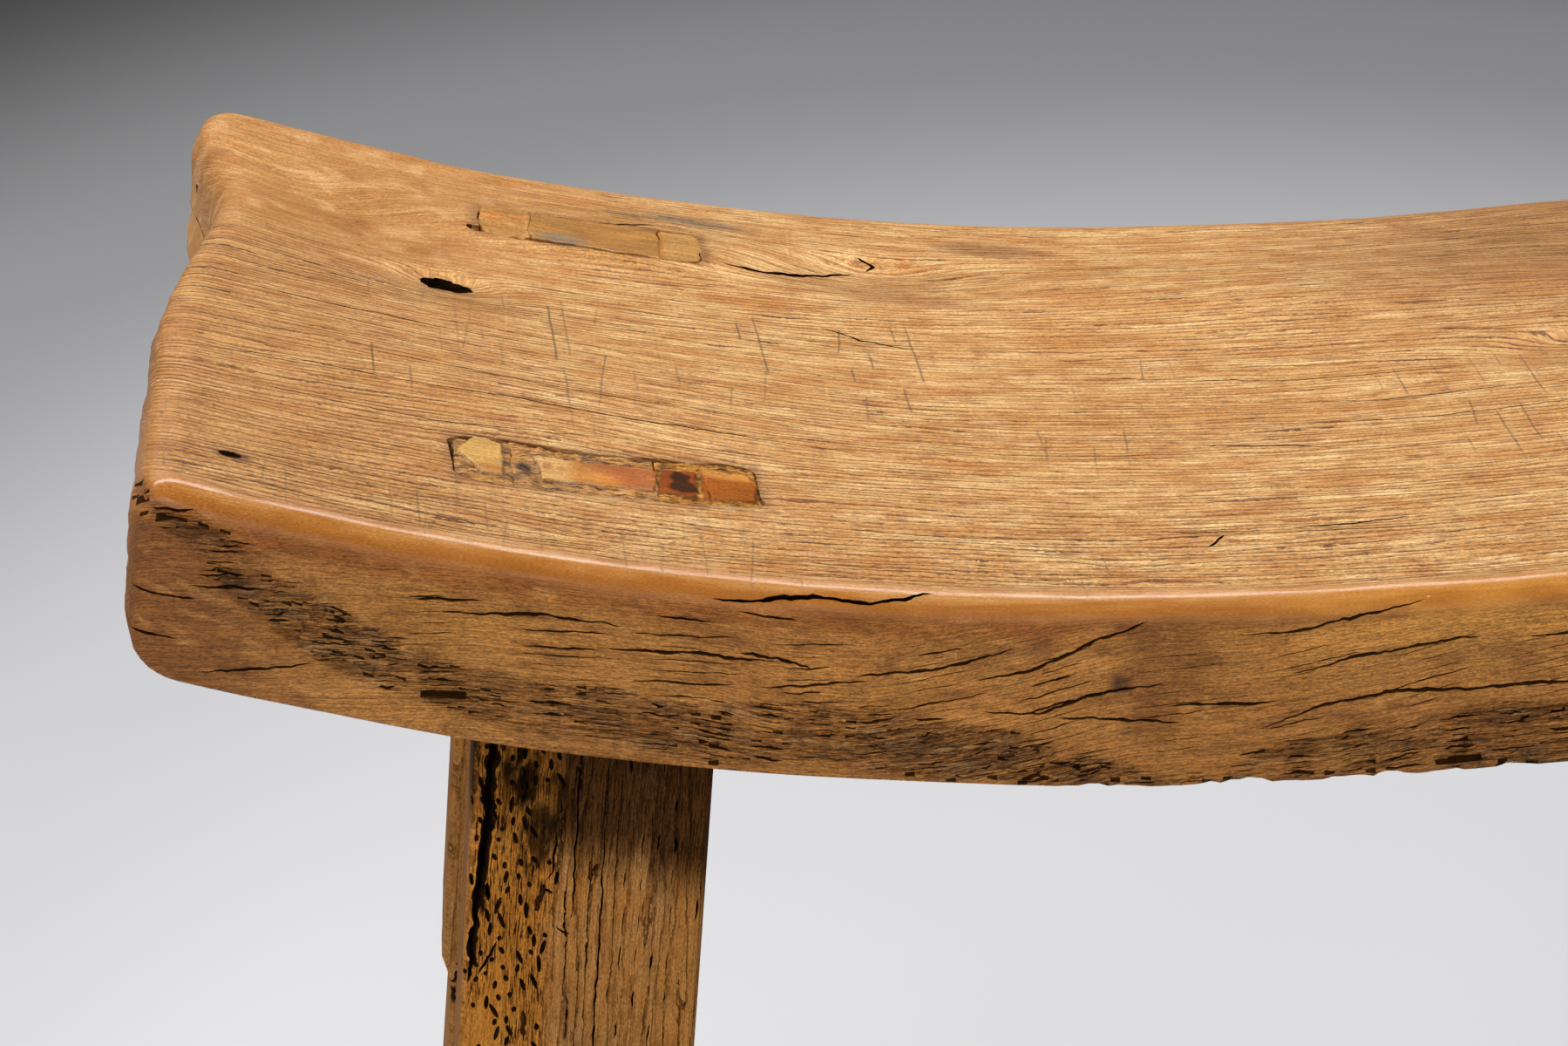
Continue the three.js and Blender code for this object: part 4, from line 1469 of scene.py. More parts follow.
@dataclass(frozen=True)
class SeatJoint:
    """A through tenon with a wedge at each end, in its joint's frame."""

    tenon_width: float = 35.0
    tenon_depth: float = 21.0
    outer_head: float = 13.5
    inner_head: float = 11.5
    taper: float = 0.1
    patch_length: float = 13.0
    patch_depth: float = 14.0
    wedge_length: float = 44.0
    end_round: float = 4.0

    # What shows of the near left joint, along and across the seat: the pale block, the tenon, the
    # wedge with its knots and the repair block
    near_block: Panel = Panel(
        ((-206, -75), (-201.3, -65.2), (-194.8, -67.8), (-194.6, -84.6), (-200, -84.1))
    )
    near_tenon: Panel = Panel(((-187.5, -72.0), (-157.2, -69.0), (-158.9, -81.2), (-185.6, -83.0)))
    near_wedge: Panel = Panel(((-156.6, -69.3), (-148.3, -68.7), (-148.6, -82), (-158.2, -81.8)))
    near_patch: Panel = Panel(
        ((-147.2, -66.9), (-136, -67), (-133.4, -72), (-134.3, -81), (-146.8, -82.6))
    )
    knots: tuple = (
        Blotch(-152.4, -72.8, 5.0, 6.4, 20, 1.0, 0.2, 0.3),
        Blotch(-151.6, -77.4, 6.6, 6.2, 0, 1.0, 0.2, 0.3),
    )

    def edge(self, head: float, height: float) -> float:
        """How far a wedge's outer face is from the tenon's middle at a height."""
        return self.tenon_width / 2 + JOINT_GAP + head + self.taper * height

    def worn(self, flat: Array, corner: Corner) -> Array:
        """Places across a joint as its worn edges have moved, the same for slot and filling.

        Args:
            flat: places across the joint.
            corner: where the leg stands.

        Returns:
            The places, moved.
        """
        x, y = flat.T
        seed = 201 + 4 * CORNERS.index(corner)
        moved = [noise(seed, x / 5, y / 4), noise(seed + 1, x / 6, y / 5)]
        return flat + 0.75 * np.column_stack(moved)

    def slot_reach(self, corner: Corner, z: float) -> tuple[float, float]:
        """The ends of a slot at a height.

        Args:
            corner: where the leg stands.
            z: the height.

        Returns:
            Its left and right ends.
        """
        outer = corner.end * (self.edge(self.outer_head, z) + JOINT_GAP)
        inner = -corner.end * (self.edge(self.inner_head, z) + JOINT_GAP)
        return min(outer, inner), max(outer, inner)

    def patch_reach(self, corner: Corner) -> tuple[float, float]:
        """The ends of the recess for a repair block.

        Args:
            corner: where the leg stands.

        Returns:
            Its left and right ends.
        """
        start = -corner.end * (self.edge(self.inner_head, 0.0) - 4.0)
        far = -corner.end * (self.edge(self.inner_head, 0.0) + self.patch_length + 2 * JOINT_GAP)
        return min(start, far), max(start, far)

    def tool(self, seat: SeatPlank, corner: Corner, levels: list) -> bpy.types.Object:
        """What cuts a slot with worn edges between two levels, each a left, right and height.

        Args:
            seat: the plank.
            corner: where the leg stands.
            levels: left side, right side and height of each level.

        Returns:
            The cutting tool.
        """
        left, right = levels[-1][:2]
        depth = self.tenon_depth + 2 * JOINT_GAP
        loop = rounded_loop(right - left, depth, self.end_round, (40, 16, 40, 16), 5)
        loop[:, 0] += (left + right) / 2
        rings = []
        for low, high, z in levels:
            flat = self.worn(loop, corner)
            flat[:, 0] = low + (flat[:, 0] - left) * (high - low) / (right - left)
            ring = np.column_stack([flat, np.full(len(flat), z)])
            rings.append(place(ring, corner.joint_frame(seat)))
        return new_object("slot", *prism(*rings))

    def slot_tool(self, seat: SeatPlank, corner: Corner) -> bpy.types.Object:
        """What cuts the slot for a tenon and its wedges."""
        return self.tool(seat, corner, [(*self.slot_reach(corner, z), z) for z in (-100.0, 30.0)])

    def patch_tool(self, seat: SeatPlank, corner: Corner) -> bpy.types.Object:
        """What cuts the recess for a repair block."""
        bottom = -self.patch_depth - JOINT_GAP
        return self.tool(seat, corner, [(*self.patch_reach(corner), z) for z in (bottom, 30.0)])

    def rims(self, seat: SeatPlank, corners: tuple[Corner, ...], points: Array) -> Array:
        """How near places are to the edge of a joint, from 0 to 1.

        Args:
            seat: the plank.
            corners: where the joints are.
            points: in millimetres.

        Returns:
            An array, 1 at an edge.
        """
        near = np.zeros(len(points))
        for corner in corners:
            x, y, _ = unplace(points, corner.joint_frame(seat)).T
            left, right = self.slot_reach(corner, 0.0)
            if corner.patched:
                reach = self.patch_reach(corner)
                left, right = min(left, reach[0]), max(right, reach[1])
            beside = np.maximum.reduce([left - x, x - right, 0 * x])
            far = np.hypot(beside, np.maximum(np.abs(y) - self.tenon_depth / 2, 0.0))
            near = np.maximum(near, 1.0 - smooth(0.0, 3.4, far + 1.3 * layered(53, x / 4, y / 4)))
        return near

    def plug(
        self,
        name: str,
        seat: SeatPlank,
        corner: Corner,
        reach: Callable[[float], tuple[float, float]],
        bottom: float,
        rounds: tuple[float, float],
    ) -> bpy.types.Object:
        """A block that fills part of a slot and ends in the seat's top.

        Args:
            name: the object's name.
            seat: the plank.
            corner: the corner it belongs to.
            reach: gives its ends along the joint at a height.
            bottom: the height it starts at.
            rounds: the radius of its corners at its left and right end.

        Returns:
            The new object.
        """
        matrix = corner.joint_frame(seat)
        left, right = reach(0.0)
        nx, ny = max(12, int((right - left) / 0.45)), 46
        u, v = np.meshgrid(np.linspace(0, 1, nx + 1), np.linspace(0, 1, ny + 1), indexing="ij")
        x = left + (right - left) * u
        half = self.tenon_depth / 2 - fallen(rounds[0], x - left) - fallen(rounds[1], right - x)
        y = (2 * v - 1) * half
        side = np.minimum(np.minimum(u, 1 - u) * (right - left), (1 - np.abs(2 * v - 1)) * half)
        inset = 0.3 * smooth(0.1, 0.8, noise(221, x / 6, y / 6)) - 0.22
        x += (1 - 2 * u) * inset
        y -= (2 * v - 1) * inset
        local = np.zeros(((nx + 1) * (ny + 1), 3))
        local[:, :2] = self.worn(np.column_stack([x.ravel(), y.ravel()]), corner)
        for _ in range(4):
            world = place(local, matrix)
            low = self.sunk(corner, world[:, 0], world[:, 1]) + fallen(0.35, side.ravel())
            local[:, 2] += seat.top(world[:, 0], world[:, 1]) - world[:, 2] - low
        grid = np.arange(len(local)).reshape(nx + 1, ny + 1)
        quads = np.stack([grid[:-1, :-1], grid[1:, :-1], grid[1:, 1:], grid[:-1, 1:]], -1)
        faces = quads.reshape(-1, 4).tolist()
        rim = [*grid[:, 0], *grid[-1, 1:], *grid[-2::-1, -1], *grid[0, -2:0:-1]]
        lower = local[rim].copy()
        low_left, low_right = reach(bottom)
        lower[:, 0] = low_left + (lower[:, 0] - left) * (low_right - low_left) / (right - left)
        lower[:, 2] = bottom
        size, count = len(rim), len(local)
        for i in range(size):
            j = (i + 1) % size
            faces.append([int(rim[i]), count + i, count + j, int(rim[j])])
        faces.append(list(range(count, count + size)))
        return new_object(name, place(np.concatenate([local, lower]), matrix), faces)

    def shown(self, corner: Corner, x: Array, y: Array) -> Array:
        """Where a joint's own wood shows, and not the crumbled wood round it.

        Args:
            corner: where the leg stands.
            x: places along the seat.
            y: places across the seat.

        Returns:
            An array of true and false.
        """
        if corner.name == "rear_left":
            return 0.3 + 0.7 * smooth(-188.0, -186.5, x)
        if not corner.patched:
            return np.ones(x.shape)
        return most((self.near_block, self.near_tenon, self.near_wedge, self.near_patch), x, y)

    def sunk(self, corner: Corner, x: Array, y: Array) -> Array:
        """How far the filling of a joint lies under the seat's top."""
        crumbs = (1.0 - self.shown(corner, x, y)) * (0.7 + 0.8 * layered(65, x / 2.0, y / 1.7))
        return np.maximum(0.45 + 0.35 * layered(61, x / 5, y / 4) + crumbs, 0.15)

    def surface(self, obj: bpy.types.Object, seat: SeatPlank, corner: Corner) -> Surface:
        """Colours of the near and far joints as they are, with a painted highlight on the far one,
        and plain ones on the others.

        Args:
            obj: a piece of the joint.
            seat: the plank.
            corner: where the leg stands.

        Returns:
            The surface at each of its points.
        """
        world = points_of(obj)
        local_x, local_y, local_z = unplace(world, corner.joint_frame(seat)).T
        x, y = world[:, 0], world[:, 1]
        figure = local_y + 0.07 * local_x + 1.1 * noise(51, local_x / 11, local_y / 6)
        out = Surface.plain(local_x, figure + 0.3 * local_z)
        out.lines *= 0.6
        out.pores *= 0.4
        out.polish += 0.15
        edge = smooth(self.tenon_depth / 2 - 1.5, self.tenon_depth / 2 - 0.2, np.abs(local_y))
        out.colour(0.3 * edge, 0x6A4420)
        if corner.patched:
            self.near_colours(out, x, y)
        elif corner.name == "rear_left":
            self.far_colours(out, x, y)
        return out

    def near_colours(self, out: Surface, x: Array, y: Array) -> None:
        """The near left joint: crumbs round four worn faces.

        Args:
            out: the surface, which is changed.
            x: places along the seat.
            y: places across the seat.
        """
        panels = (self.near_block, self.near_tenon, self.near_wedge, self.near_patch)
        block, body, wedge, patch = (panel.cover(x, y) for panel in panels)
        crumbs = 1.0 - most(panels, x, y)
        streak = smooth(0.1, 0.6, noise(69, x / 12 + y / 3, y / 1.3))
        spots = (
            Blotch(-184.2, -76.2, 2.6, 3.4, 0, 0.9, 0.4, 0.3),
            Blotch(-181.0, -76.4, 2.2, 2.4, 0, 0.7, 0.4, 0.3),
        )
        for share, tone in (
            (1.0, 0xB47C36),
            (0.85 * crumbs * smooth(-0.1, 0.6, layered(67, x / 2.4, y / 1.6)), 0x6E4A26),
            (0.9 * block, 0xBA9046),
            (0.7 * block * Blotch(-197.5, -82, 8, 6, 0, 1, 0.5, 0.3).cover(x, y), 0xA2611D),
            (body, 0xAA6A1C),
            (0.85 * body * smooth(-176.0, -182.0, x), 0xD0A462),
            (0.8 * body * smooth(-175.0, -166.0, x + 0.8 * (y + 76)), 0x90420A),
            (0.5 * body * streak, 0xBE7A30),
            (0.75 * body * most(spots, x, y), 0x94481A),
            (wedge, 0x803C0A),
            (most(self.knots, x, y), 0x200C03),
            (patch, 0x8E4C10),
            (0.8 * patch * smooth(-72.5, -69.5, y + 0.06 * (x + 140)), 0xC48840),
            *((0.6 * panel.rim(x, y, 0.4), 0x3E2610) for panel in panels),
            (0.9 * Blotch(-189.8, -78.0, 3.6, 4.0, 0, 1, 0.4, 0.5).cover(x, y), 0x3C1A0C),
        ):
            out.colour(share, tone)
        out.lines *= 0.3 + 0.7 * crumbs
        out.rot = 0.9 * crumbs
        out.polish = 0.15 * (1.0 - crumbs)

    def far_colours(self, out: Surface, x: Array, y: Array) -> None:
        """The far left joint: a dirty filling, a honey tenon with a smudge and a painted highlight,
        and a pale block.

        Args:
            out: the surface, which is changed.
            x: places along the seat.
            y: places across the seat.
        """
        tenon = smooth(-187.2, -186.2, x) * smooth(-149.8, -150.8, x)
        spots = (
            Blotch(-196.4, 80.4, 6, 5, 0, 0.9, 0.4, 0.4),
            Blotch(-188.1, 82.2, 5, 5, 0, 0.9, 0.4, 0.4),
        )
        for share, tone in (
            (0.9 * smooth(-186.5, -187.5, x), 0xA87430),
            (0.8 * most(spots, x, y), 0xB86A22),
            (tenon, 0x9E6C28),
            (0.65 * tenon * smooth(0.0, 0.7, layered(73, x / 12, y / 3)), 0xB47830),
            (0.6 * smooth(0.05, 0.5, noise(75, x / 9, y / 1.2)), 0x85551E),
            (0.8 * Blotch(-178, 71, 12, 7, 0, 1, 0.5, 0.4).cover(x, y), 0x6C6250),
            # Painted highlight: a thin near-white streak across the tenon.
            (0.8 * Blotch(-168, 66.5, 9, 2.4, 4, 1, 0.4, 0.3).cover(x, y), 0xE6D6BC),
            (0.9 * smooth(-150.6, -149.8, x), 0xAA8248),
            (0.6 * smooth(-139.8, -138.2, x), 0x5A3C20),
        ):
            out.colour(share, tone)
        out.lines *= 0.5

    def build(self, shop: Workshop, seat: SeatPlank, corner: Corner) -> None:
        """Makes the wedges of one corner, and its repair block.

        Args:
            shop: finishes the pieces.
            seat: the plank.
            corner: where the leg stands.
        """
        near = self.tenon_width / 2 + JOINT_GAP
        kinds = {
            "outer": (self.outer_head, corner.end, Finish.PALE, "pale_wedge"),
            "inner": (self.inner_head, -corner.end, Finish.RED, "red_wedge"),
        }
        for kind, (head, way, finish, slot) in kinds.items():
            name = f"{kind}_wedge_{corner.name}"
            radius = 0.0 if kind == "inner" and corner.patched else self.end_round
            obj = self.plug(
                f"{name}_block", seat, corner,
                lambda z: tuple(sorted((way * near, way * self.edge(head, z)))),
                -self.wedge_length, (radius, 0.0) if way < 0 else (0.0, radius),
            )
            surface = self.surface(obj, seat, corner)
            shop.finish(obj, surface, (finish,), slot, (name,), 3.0 + way)
        if corner.patched:
            start = self.edge(self.inner_head, 0.0) + JOINT_GAP
            name = f"seat_patch_{corner.name}"
            obj = self.plug(
                f"{name}_block", seat, corner,
                lambda z: tuple(
                    sorted(-corner.end * a for a in (start, start + self.patch_length))
                ),
                -self.patch_depth, (0.0, self.end_round),
            )
            surface = self.surface(obj, seat, corner)
            shop.finish(obj, surface, (Finish.RED,), "red_wedge", (name,), 9.0)


def evaluated(obj: bpy.types.Object, tree: bpy.types.NodeTree, sizes: dict) -> None:
    """Runs a node tree on an object, with its inputs set by name, and keeps the plain mesh.

    Args:
        obj: what the tree runs on.
        tree: ends in a realized mesh.
        sizes: the value of each named input.
    """
    modifier = obj.modifiers.new("nodes", "NODES")
    modifier.node_group = tree
    for item in tree.interface.items_tree:
        if item.in_out == "INPUT" and item.name in sizes:
            modifier[item.identifier] = sizes[item.name]
    depsgraph = bpy.context.evaluated_depsgraph_get()
    mesh = bpy.data.meshes.new_from_object(obj.evaluated_get(depsgraph))
    obj.modifiers.clear()
    obj.data = mesh


def node_group(name: str, floats: tuple[str, ...], whole: str) -> bpy.types.NodeTree:
    """An empty geometry node tree with its inputs named: some lengths and one whole number.

    Args:
        name: the group's.
        floats: names of its lengths.
        whole: name of its whole number.

    Returns:
        The tree, with its ends in place.
    """
    tree = bpy.data.node_groups.new(name, "GeometryNodeTree")
    face = tree.interface
    face.new_socket("Geometry", in_out="INPUT", socket_type="NodeSocketGeometry")
    face.new_socket("Geometry", in_out="OUTPUT", socket_type="NodeSocketGeometry")
    for label in floats:
        face.new_socket(label, in_out="INPUT", socket_type="NodeSocketFloat")
    face.new_socket(whole, in_out="INPUT", socket_type="NodeSocketInt")
    return tree


@dataclass(frozen=True)
class WormHoles:
    """Short slots that beetles ate, spread by a node tree over the eaten part of a leg."""

    apart: float = 2.8
    thickness: float = 0.6
    length: float = 2.6
    sink: float = 1.2

    def tree(self, material: bpy.types.Material) -> bpy.types.NodeTree:
        """The node tree that stands a drawn-out ball on each of a set of spread points.

        Args:
            material: of the cut wood.

        Returns:
            The tree.
        """
        tree = node_group("worm_holes", ("Apart", "Thickness", "Length", "Sink"), "Seed")
        given = add(tree, "NodeGroupInput").node.outputs
        eaten = add(tree, "GeometryNodeInputNamedAttribute", "eaten", data_type="FLOAT")
        links = {
            "Mesh": given["Geometry"],
            "Distance Min": given["Apart"],
            "Density Max": 400000.0,
            "Density Factor": eaten,
            "Seed": given["Seed"],
        }
        kind = "GeometryNodeDistributePointsOnFaces"
        spread = add(tree, kind, named=links, distribute_method="POISSON")
        thick, sink = given["Thickness"], given["Sink"]
        low = add(tree, "ShaderNodeCombineXYZ", thick, sink, thick)
        high = add(tree, "ShaderNodeCombineXYZ", thick, sink, given["Length"])
        seed, vectors = {"Seed": given["Seed"]}, {"data_type": "FLOAT_VECTOR"}
        size = add(tree, "FunctionNodeRandomValue", low, high, named=seed, **vectors)
        ends = ((0.0, -0.55, 0.0), (0.0, 0.4, 0.0))
        turn = add(tree, "FunctionNodeRandomValue", *ends, named=seed, **vectors)
        ball = add(tree, "GeometryNodeMeshIcoSphere", 1.0, 2)
        links = {"Points": spread, "Instance": ball, "Rotation": turn, "Scale": size}
        stand = add(tree, "GeometryNodeInstanceOnPoints", named=links)
        real = add(tree, "GeometryNodeRealizeInstances", stand)
        dressed = add(tree, "GeometryNodeSetMaterial", real, named={"Material": material})
        add(tree, "NodeGroupOutput", dressed)
        return tree

    def tool(
        self, leg: bpy.types.Object, eaten: Array, tree: bpy.types.NodeTree, seed: int
    ) -> bpy.types.Object:
        """The balls over a leg's eaten part, as a cutting tool.

        Args:
            leg: the leg, before its holes.
            eaten: how eaten each of its points is, from 0 to 1.
            tree: stands the balls on it.
            seed: picks the random draw.

        Returns:
            The cutting tool.
        """
        mesh = leg.data.copy()
        layer = mesh.attributes.new("eaten", "FLOAT", "POINT")
        layer.data.foreach_set("value", eaten.astype(np.float32))
        obj = bpy.data.objects.new("worm_holes", mesh)
        bpy.context.scene.collection.objects.link(obj)
        sizes = {
            "Apart": self.apart * MM,
            "Thickness": self.thickness * MM,
            "Length": self.length * MM,
            "Sink": self.sink * MM,
            "Seed": seed,
        }
        evaluated(obj, tree, sizes)
        return obj


@dataclass(frozen=True)
class Leg:
    """A splayed leg with its shoulder, tenon and rail mortises."""

    width: float = 58.5
    depth: float = 44.0
    arris: float = 3.0
    wear_level: float = 240.0
    wear_shoulder: float = 10.0
    worms: WormHoles = WormHoles()

    # The eaten stretch of the wormy leg: along its front face and down from the seat's top
    channel: Crack = Crack(
        ((-24.6, -40), (-24.4, -66), (-24.8, -80), (-25.5, -96), (-26.6, -109), (-27.3, -124)),
        3.1, 6.0,
    )
    burns: tuple = (
        Blotch(-16.5, -67, 10, 24, 0, 1.0, 0.35, 0.6), Blotch(-13.0, -84, 8, 18, 0, 0.9, 0.4, 0.6),
        Blotch(-9, -72, 6, 9, 0, 0.8, 0.4, 0.6), Blotch(-13.0, -92, 5, 16, 0, 0.6, 0.5, 0.6),
        Blotch(-21, -72, 3, 26, 0, 0.6, 0.5, 0.6),
    )
    front_cracks: tuple = (
        Crack(((-7.4, -107.6), (-5, -109), (-3.1, -109.5)), 0.6),
        Crack(((27, -98.8), (27, -105.2)), 0.8),
        Crack(((-21, -112), (-23, -117), (-25, -121.5)), 0.9),
        Crack(((-10.3, -98), (-8.0, -99)), 0.7),
        Crack(((3.9, -58), (3.6, -90), (3.9, -150), (3.0, -215)), 0.5, 2.2),
        Crack(((-3.4, -60), (-3.3, -104), (-3.6, -106)), 0.45),
        Crack(((-7.9, -83), (-8.6, -94), (-10.0, -96)), 0.6),
    )

    def outline(self) -> Array:
        """The leg's section, finest along its front."""
        return rounded_loop(self.width, self.depth, self.arris, (26, 22, 96, 22), 4)

    def shoulder(self, seat: SeatPlank, matrix: Array, flat: Array) -> Array:
        """Heights at which places across the leg meet the seat's underside.

        Args:
            seat: the plank.
            matrix: the leg's frame.
            flat: places across the leg.

        Returns:
            An array of heights in the leg's frame.
        """
        below = seat.thickness + JOINT_GAP
        local = np.column_stack([flat, np.full(len(flat), -below)])
        for _ in range(5):
            world = place(local, matrix)
            goal = seat.top(world[:, 0] / seat.stretch(below), world[:, 1]) - below
            local[:, 2] += goal - world[:, 2]
        return local[:, 2]

    def rings(self, seat: SeatPlank, corner: Corner) -> Array:
        """The rings of the shaft, in the leg's frame, from its foot to its shoulder.

        Args:
            seat: the plank.
            corner: where the leg stands.

        Returns:
            An array of rings by points by three coordinates.
        """
        matrix = corner.leg_frame(seat)
        outline = self.outline()
        reach = np.clip(outline, -8.0, 8.0) * (1.0, 0.0)
        down = np.concatenate([np.arange(0.0, 110.0, 1.0), np.linspace(110.0, 425.0, 80)])[::-1]
        caps = [reach + (outline - reach) * share for share in (0.0, 0.35, 0.7, 0.9)]

        def level(flat: Array, share: float) -> Array:
            """A ring at a share of the way from the foot to the shoulder.

            Args:
                flat: places across the leg.
                share: from 0 at the foot to 1.

            Returns:
                The ring.
            """
            foot = -(flat @ matrix[2, :2] + matrix[2, 3]) / matrix[2, 2]
            top = self.shoulder(seat, matrix, flat)
            return np.column_stack([flat, foot + (top - foot) * share])

        rings = [level(flat, 0.0) for flat in caps]
        rings += [level(outline, share) for share in 1.0 - down / down.max()]
        rings += [level(flat, 1.0) for flat in reversed(caps)]
        return np.array(rings)

    def eaten(self, local: Array) -> Array:
        """How far the worms have been at each place of the wormy leg.

        Args:
            local: places in the leg's frame.

        Returns:
            An array from 0 to 1.
        """
        x, y, z = local.T
        wander = 1.8 * noise(97, z / 14, z * 0.0)
        return (1.0 - smooth(-21.5, -19.5, y)) * (1.0 - smooth(-12.0, -7.0, x + wander))

    def surface(self, local: Array, corner: Corner) -> Surface:
        """What wear and worms did at each place of the leg, in its own frame, with the seat's
        painted shadow.

        Args:
            local: places in the leg's frame.
            corner: where the leg stands.

        Returns:
            The surface at each place.
        """
        x, y, z = local.T
        seed = 7 * CORNERS.index(corner)
        across = x + 0.9 * y + 1.2 * noise(71 + seed, z / 120, x / 30)
        across = across + 0.3 * noise(73 + seed, z / 24, x / 5)
        out = Surface.plain(z, across)
        front = 1.0 - smooth(-21.5, -19.0, y)
        # Painted shadow of the seat, partly dark stain: the top of the leg is darkened down to this
        # slanting, ragged edge.
        lower_edge = -88.0 - 0.22 * x + 3.0 * noise(79, x / 6, z / 50)
        ragged = 2.5 * layered(81 + seed, x / 2.2, z / 18)
        seat_shadow_band = smooth(-9.0, 9.0, z - lower_edge + ragged)
        out.pores *= 0.8
        out.warm = 0.35 * smooth(0.0, 0.8, layered(83 + seed, x / 12, z / 60))
        out.colour(0.35 * smooth(0.0, 0.7, layered(85 + seed, x / 9, z / 45)), 0x7A5A3C)
        sunk = 0.25 * (1.0 + noise(89 + seed, z / 60, across / 16))
        if corner.wormy:
            eaten = self.eaten(local)
            out.colour(0.8 * eaten, 0xAC6C24)
            out.colour(0.6 * eaten * smooth(0.0, 0.6, layered(105, x / 3, z / 7)), 0xC4883A)
            out.colour(0.7 * front * smooth(23.0, 26.5, x), 0xA8743A)
            # Painted shadow of the seat, partly dark stain, near black over the top of the wormy
            # leg.
            out.colour(0.88 * seat_shadow_band * (1.0 - 0.6 * eaten), 0x2C1404)
            charred = most(self.burns, x, z) * smooth(-0.6, -0.1, layered(107, x / 1.6, z / 4.5))
            out.colour(0.97 * charred * front, 0x120702)
            out.lines *= 1.0 - 0.75 * eaten
            out.rot = 1.2 * eaten * smooth(-0.35, 0.35, layered(109, x / 5, z / 13))
            out.rot += 0.6 * front * seat_shadow_band * (1.0 - eaten)
            sunk += eaten * (0.35 + 0.55 * np.abs(layered(101, x / 3.2, z / 7)))
        else:
            # Painted shadow of the seat, partly dark stain, on the top of the other legs.
            out.colour(0.7 * seat_shadow_band, 0x4A3018)
        out.depth = 0.02 + sunk * (1.0 - smooth(-60.0, -52.0, z)) * smooth(-462.0, -455.0, z)
        return out

    def checks(self, matrix: Array, corner: Corner) -> list[list[Solid]]:
        """The solids that cut the leg's checks, in groups that don't touch in themselves.

        Args:
            matrix: the leg's frame.
            corner: where the leg stands.

        Returns:
            Groups of solids, each as points and faces.
        """
        seed = 501 + 20 * CORNERS.index(corner)
        groups = []
        sides = ((1, -1, self.depth / 2, 24), (1, 1, self.depth / 2, 24))
        sides += ((0, -1, self.width / 2, 17), (0, 1, self.width / 2, 17))
        for k, (axis, way, half, span) in enumerate(sides):

            def lift(u: Array, v: Array, height: Array) -> Array:
                """Places on or off this side of the leg."""
                parts = [u, u, v]
                parts[axis] = way * (half + height)
                return place(np.stack(parts, -1), matrix)

            worn = corner.wormy and k == 0
            dashes = scattered(
                seed + 5 * k, (7.0 if worn else -span, span, 3.9), (-440, -58, 10.0),
                (8.6, 0.75, 2.4),
                lambda u, v: 0.75 if worn else 0.35, lambda u: 0.02 + 0.0 * u, True,
            )
            for cracks in (dashes, self.front_cracks) if worn else (dashes,):
                groups.append([crack.solid(lift, 601 + 3 * i) for i, crack in enumerate(cracks)])
            if worn:
                groups.append([self.channel.solid(lift, 691)])
        return groups

    def build(
        self, shop: Workshop, seat: SeatPlank, joint: SeatJoint, corner: Corner, rails: tuple
    ) -> None:
        """Makes one leg and dresses it.

        Args:
            shop: finishes the pieces.
            seat: the plank.
            joint: the joints' shape.
            corner: where the leg stands.
            rails: the rails, for their mortises.
        """
        matrix = corner.leg_frame(seat)
        rings = self.rings(seat, corner)
        shape = place(rings.reshape(-1, 3), matrix).reshape(rings.shape)
        obj = loft(f"leg_{corner.name}_shaft", shape)
        points, normals = points_of(obj), normals_of(obj)
        depth = self.surface(unplace(points, matrix), corner).depth
        local = unplace(points - normals * depth[:, None], matrix)
        if corner.wear:
            start = corner.height_at(seat, self.wear_level)
            below = (start - local[:, 2]) / self.wear_shoulder
            worn = corner.wear * np.sqrt(np.clip(below, 0.0, 1.0))
            outer = corner.end * local[:, 0] > 0
            local[outer, 0] *= 1.0 - worn[outer] / (self.width / 2)
        world = place(local, matrix)
        world[:, 2] = np.maximum(world[:, 2], 0.0)
        set_points(obj, world)
        half = joint.tenon_width / 2
        tenon = joint.plug("tenon", seat, corner, lambda z: (-half, half), -75.0, (0.0, 0.0))
        combine(obj, tenon, Cut.JOIN)
        whole = tree_of(obj)
        for rail in rails:
            if corner in rail.corners:
                combine(obj, rail.mortise_tool(seat), Cut.AWAY)
        for solids in self.checks(matrix, corner):
            combine(obj, gathered("leg_checks", solids), Cut.AWAY)
        if corner.wormy:
            tree = self.worms.tree(shop.materials[Finish.OPEN])
            for seed in (1, 2, 3):
                eaten = self.eaten(unplace(points_of(obj), matrix))
                combine(obj, self.worms.tool(obj, 0.8 * eaten, tree, seed), Cut.AWAY)
        self.dress(shop, seat, joint, corner, obj, whole)

    def dress(
        self,
        shop: Workshop,
        seat: SeatPlank,
        joint: SeatJoint,
        corner: Corner,
        obj: bpy.types.Object,
        whole: BVHTree,
    ) -> None:
        """Gives a finished leg its surface and materials.

        Args:
            shop: finishes the pieces.
            seat: the plank.
            joint: the joints' shape.
            corner: where the leg stands.
            obj: the finished leg.
            whole: the leg's skin before it was cut.
        """
        local = unplace(points_of(obj), corner.leg_frame(seat))
        surface = self.surface(local, corner)
        above = local[:, 2] > self.shoulder(seat, corner.leg_frame(seat), local[:, :2]) + 0.4
        ends = joint.surface(obj, seat, corner)
        for name in (
            "along", "across", "rot", "polish", "warm", "lines", "pores", "scratch", "paint",
        ):
            getattr(surface, name)[above] = getattr(ends, name)[above]
        seed = 20.0 + 3 * CORNERS.index(corner)
        finishes = (Finish.LEG, Finish.OPEN, Finish.PALE)
        shop.finish(obj, surface, finishes, "leg_elm", (f"leg_{corner.name}",), seed)
        index = np.where(faces_among(obj, above), 2, 0)
        index[freshly_cut(obj, whole)] = 1
        obj.data.polygons.foreach_set("material_index", index.astype(np.int32))


# The rails and pegs


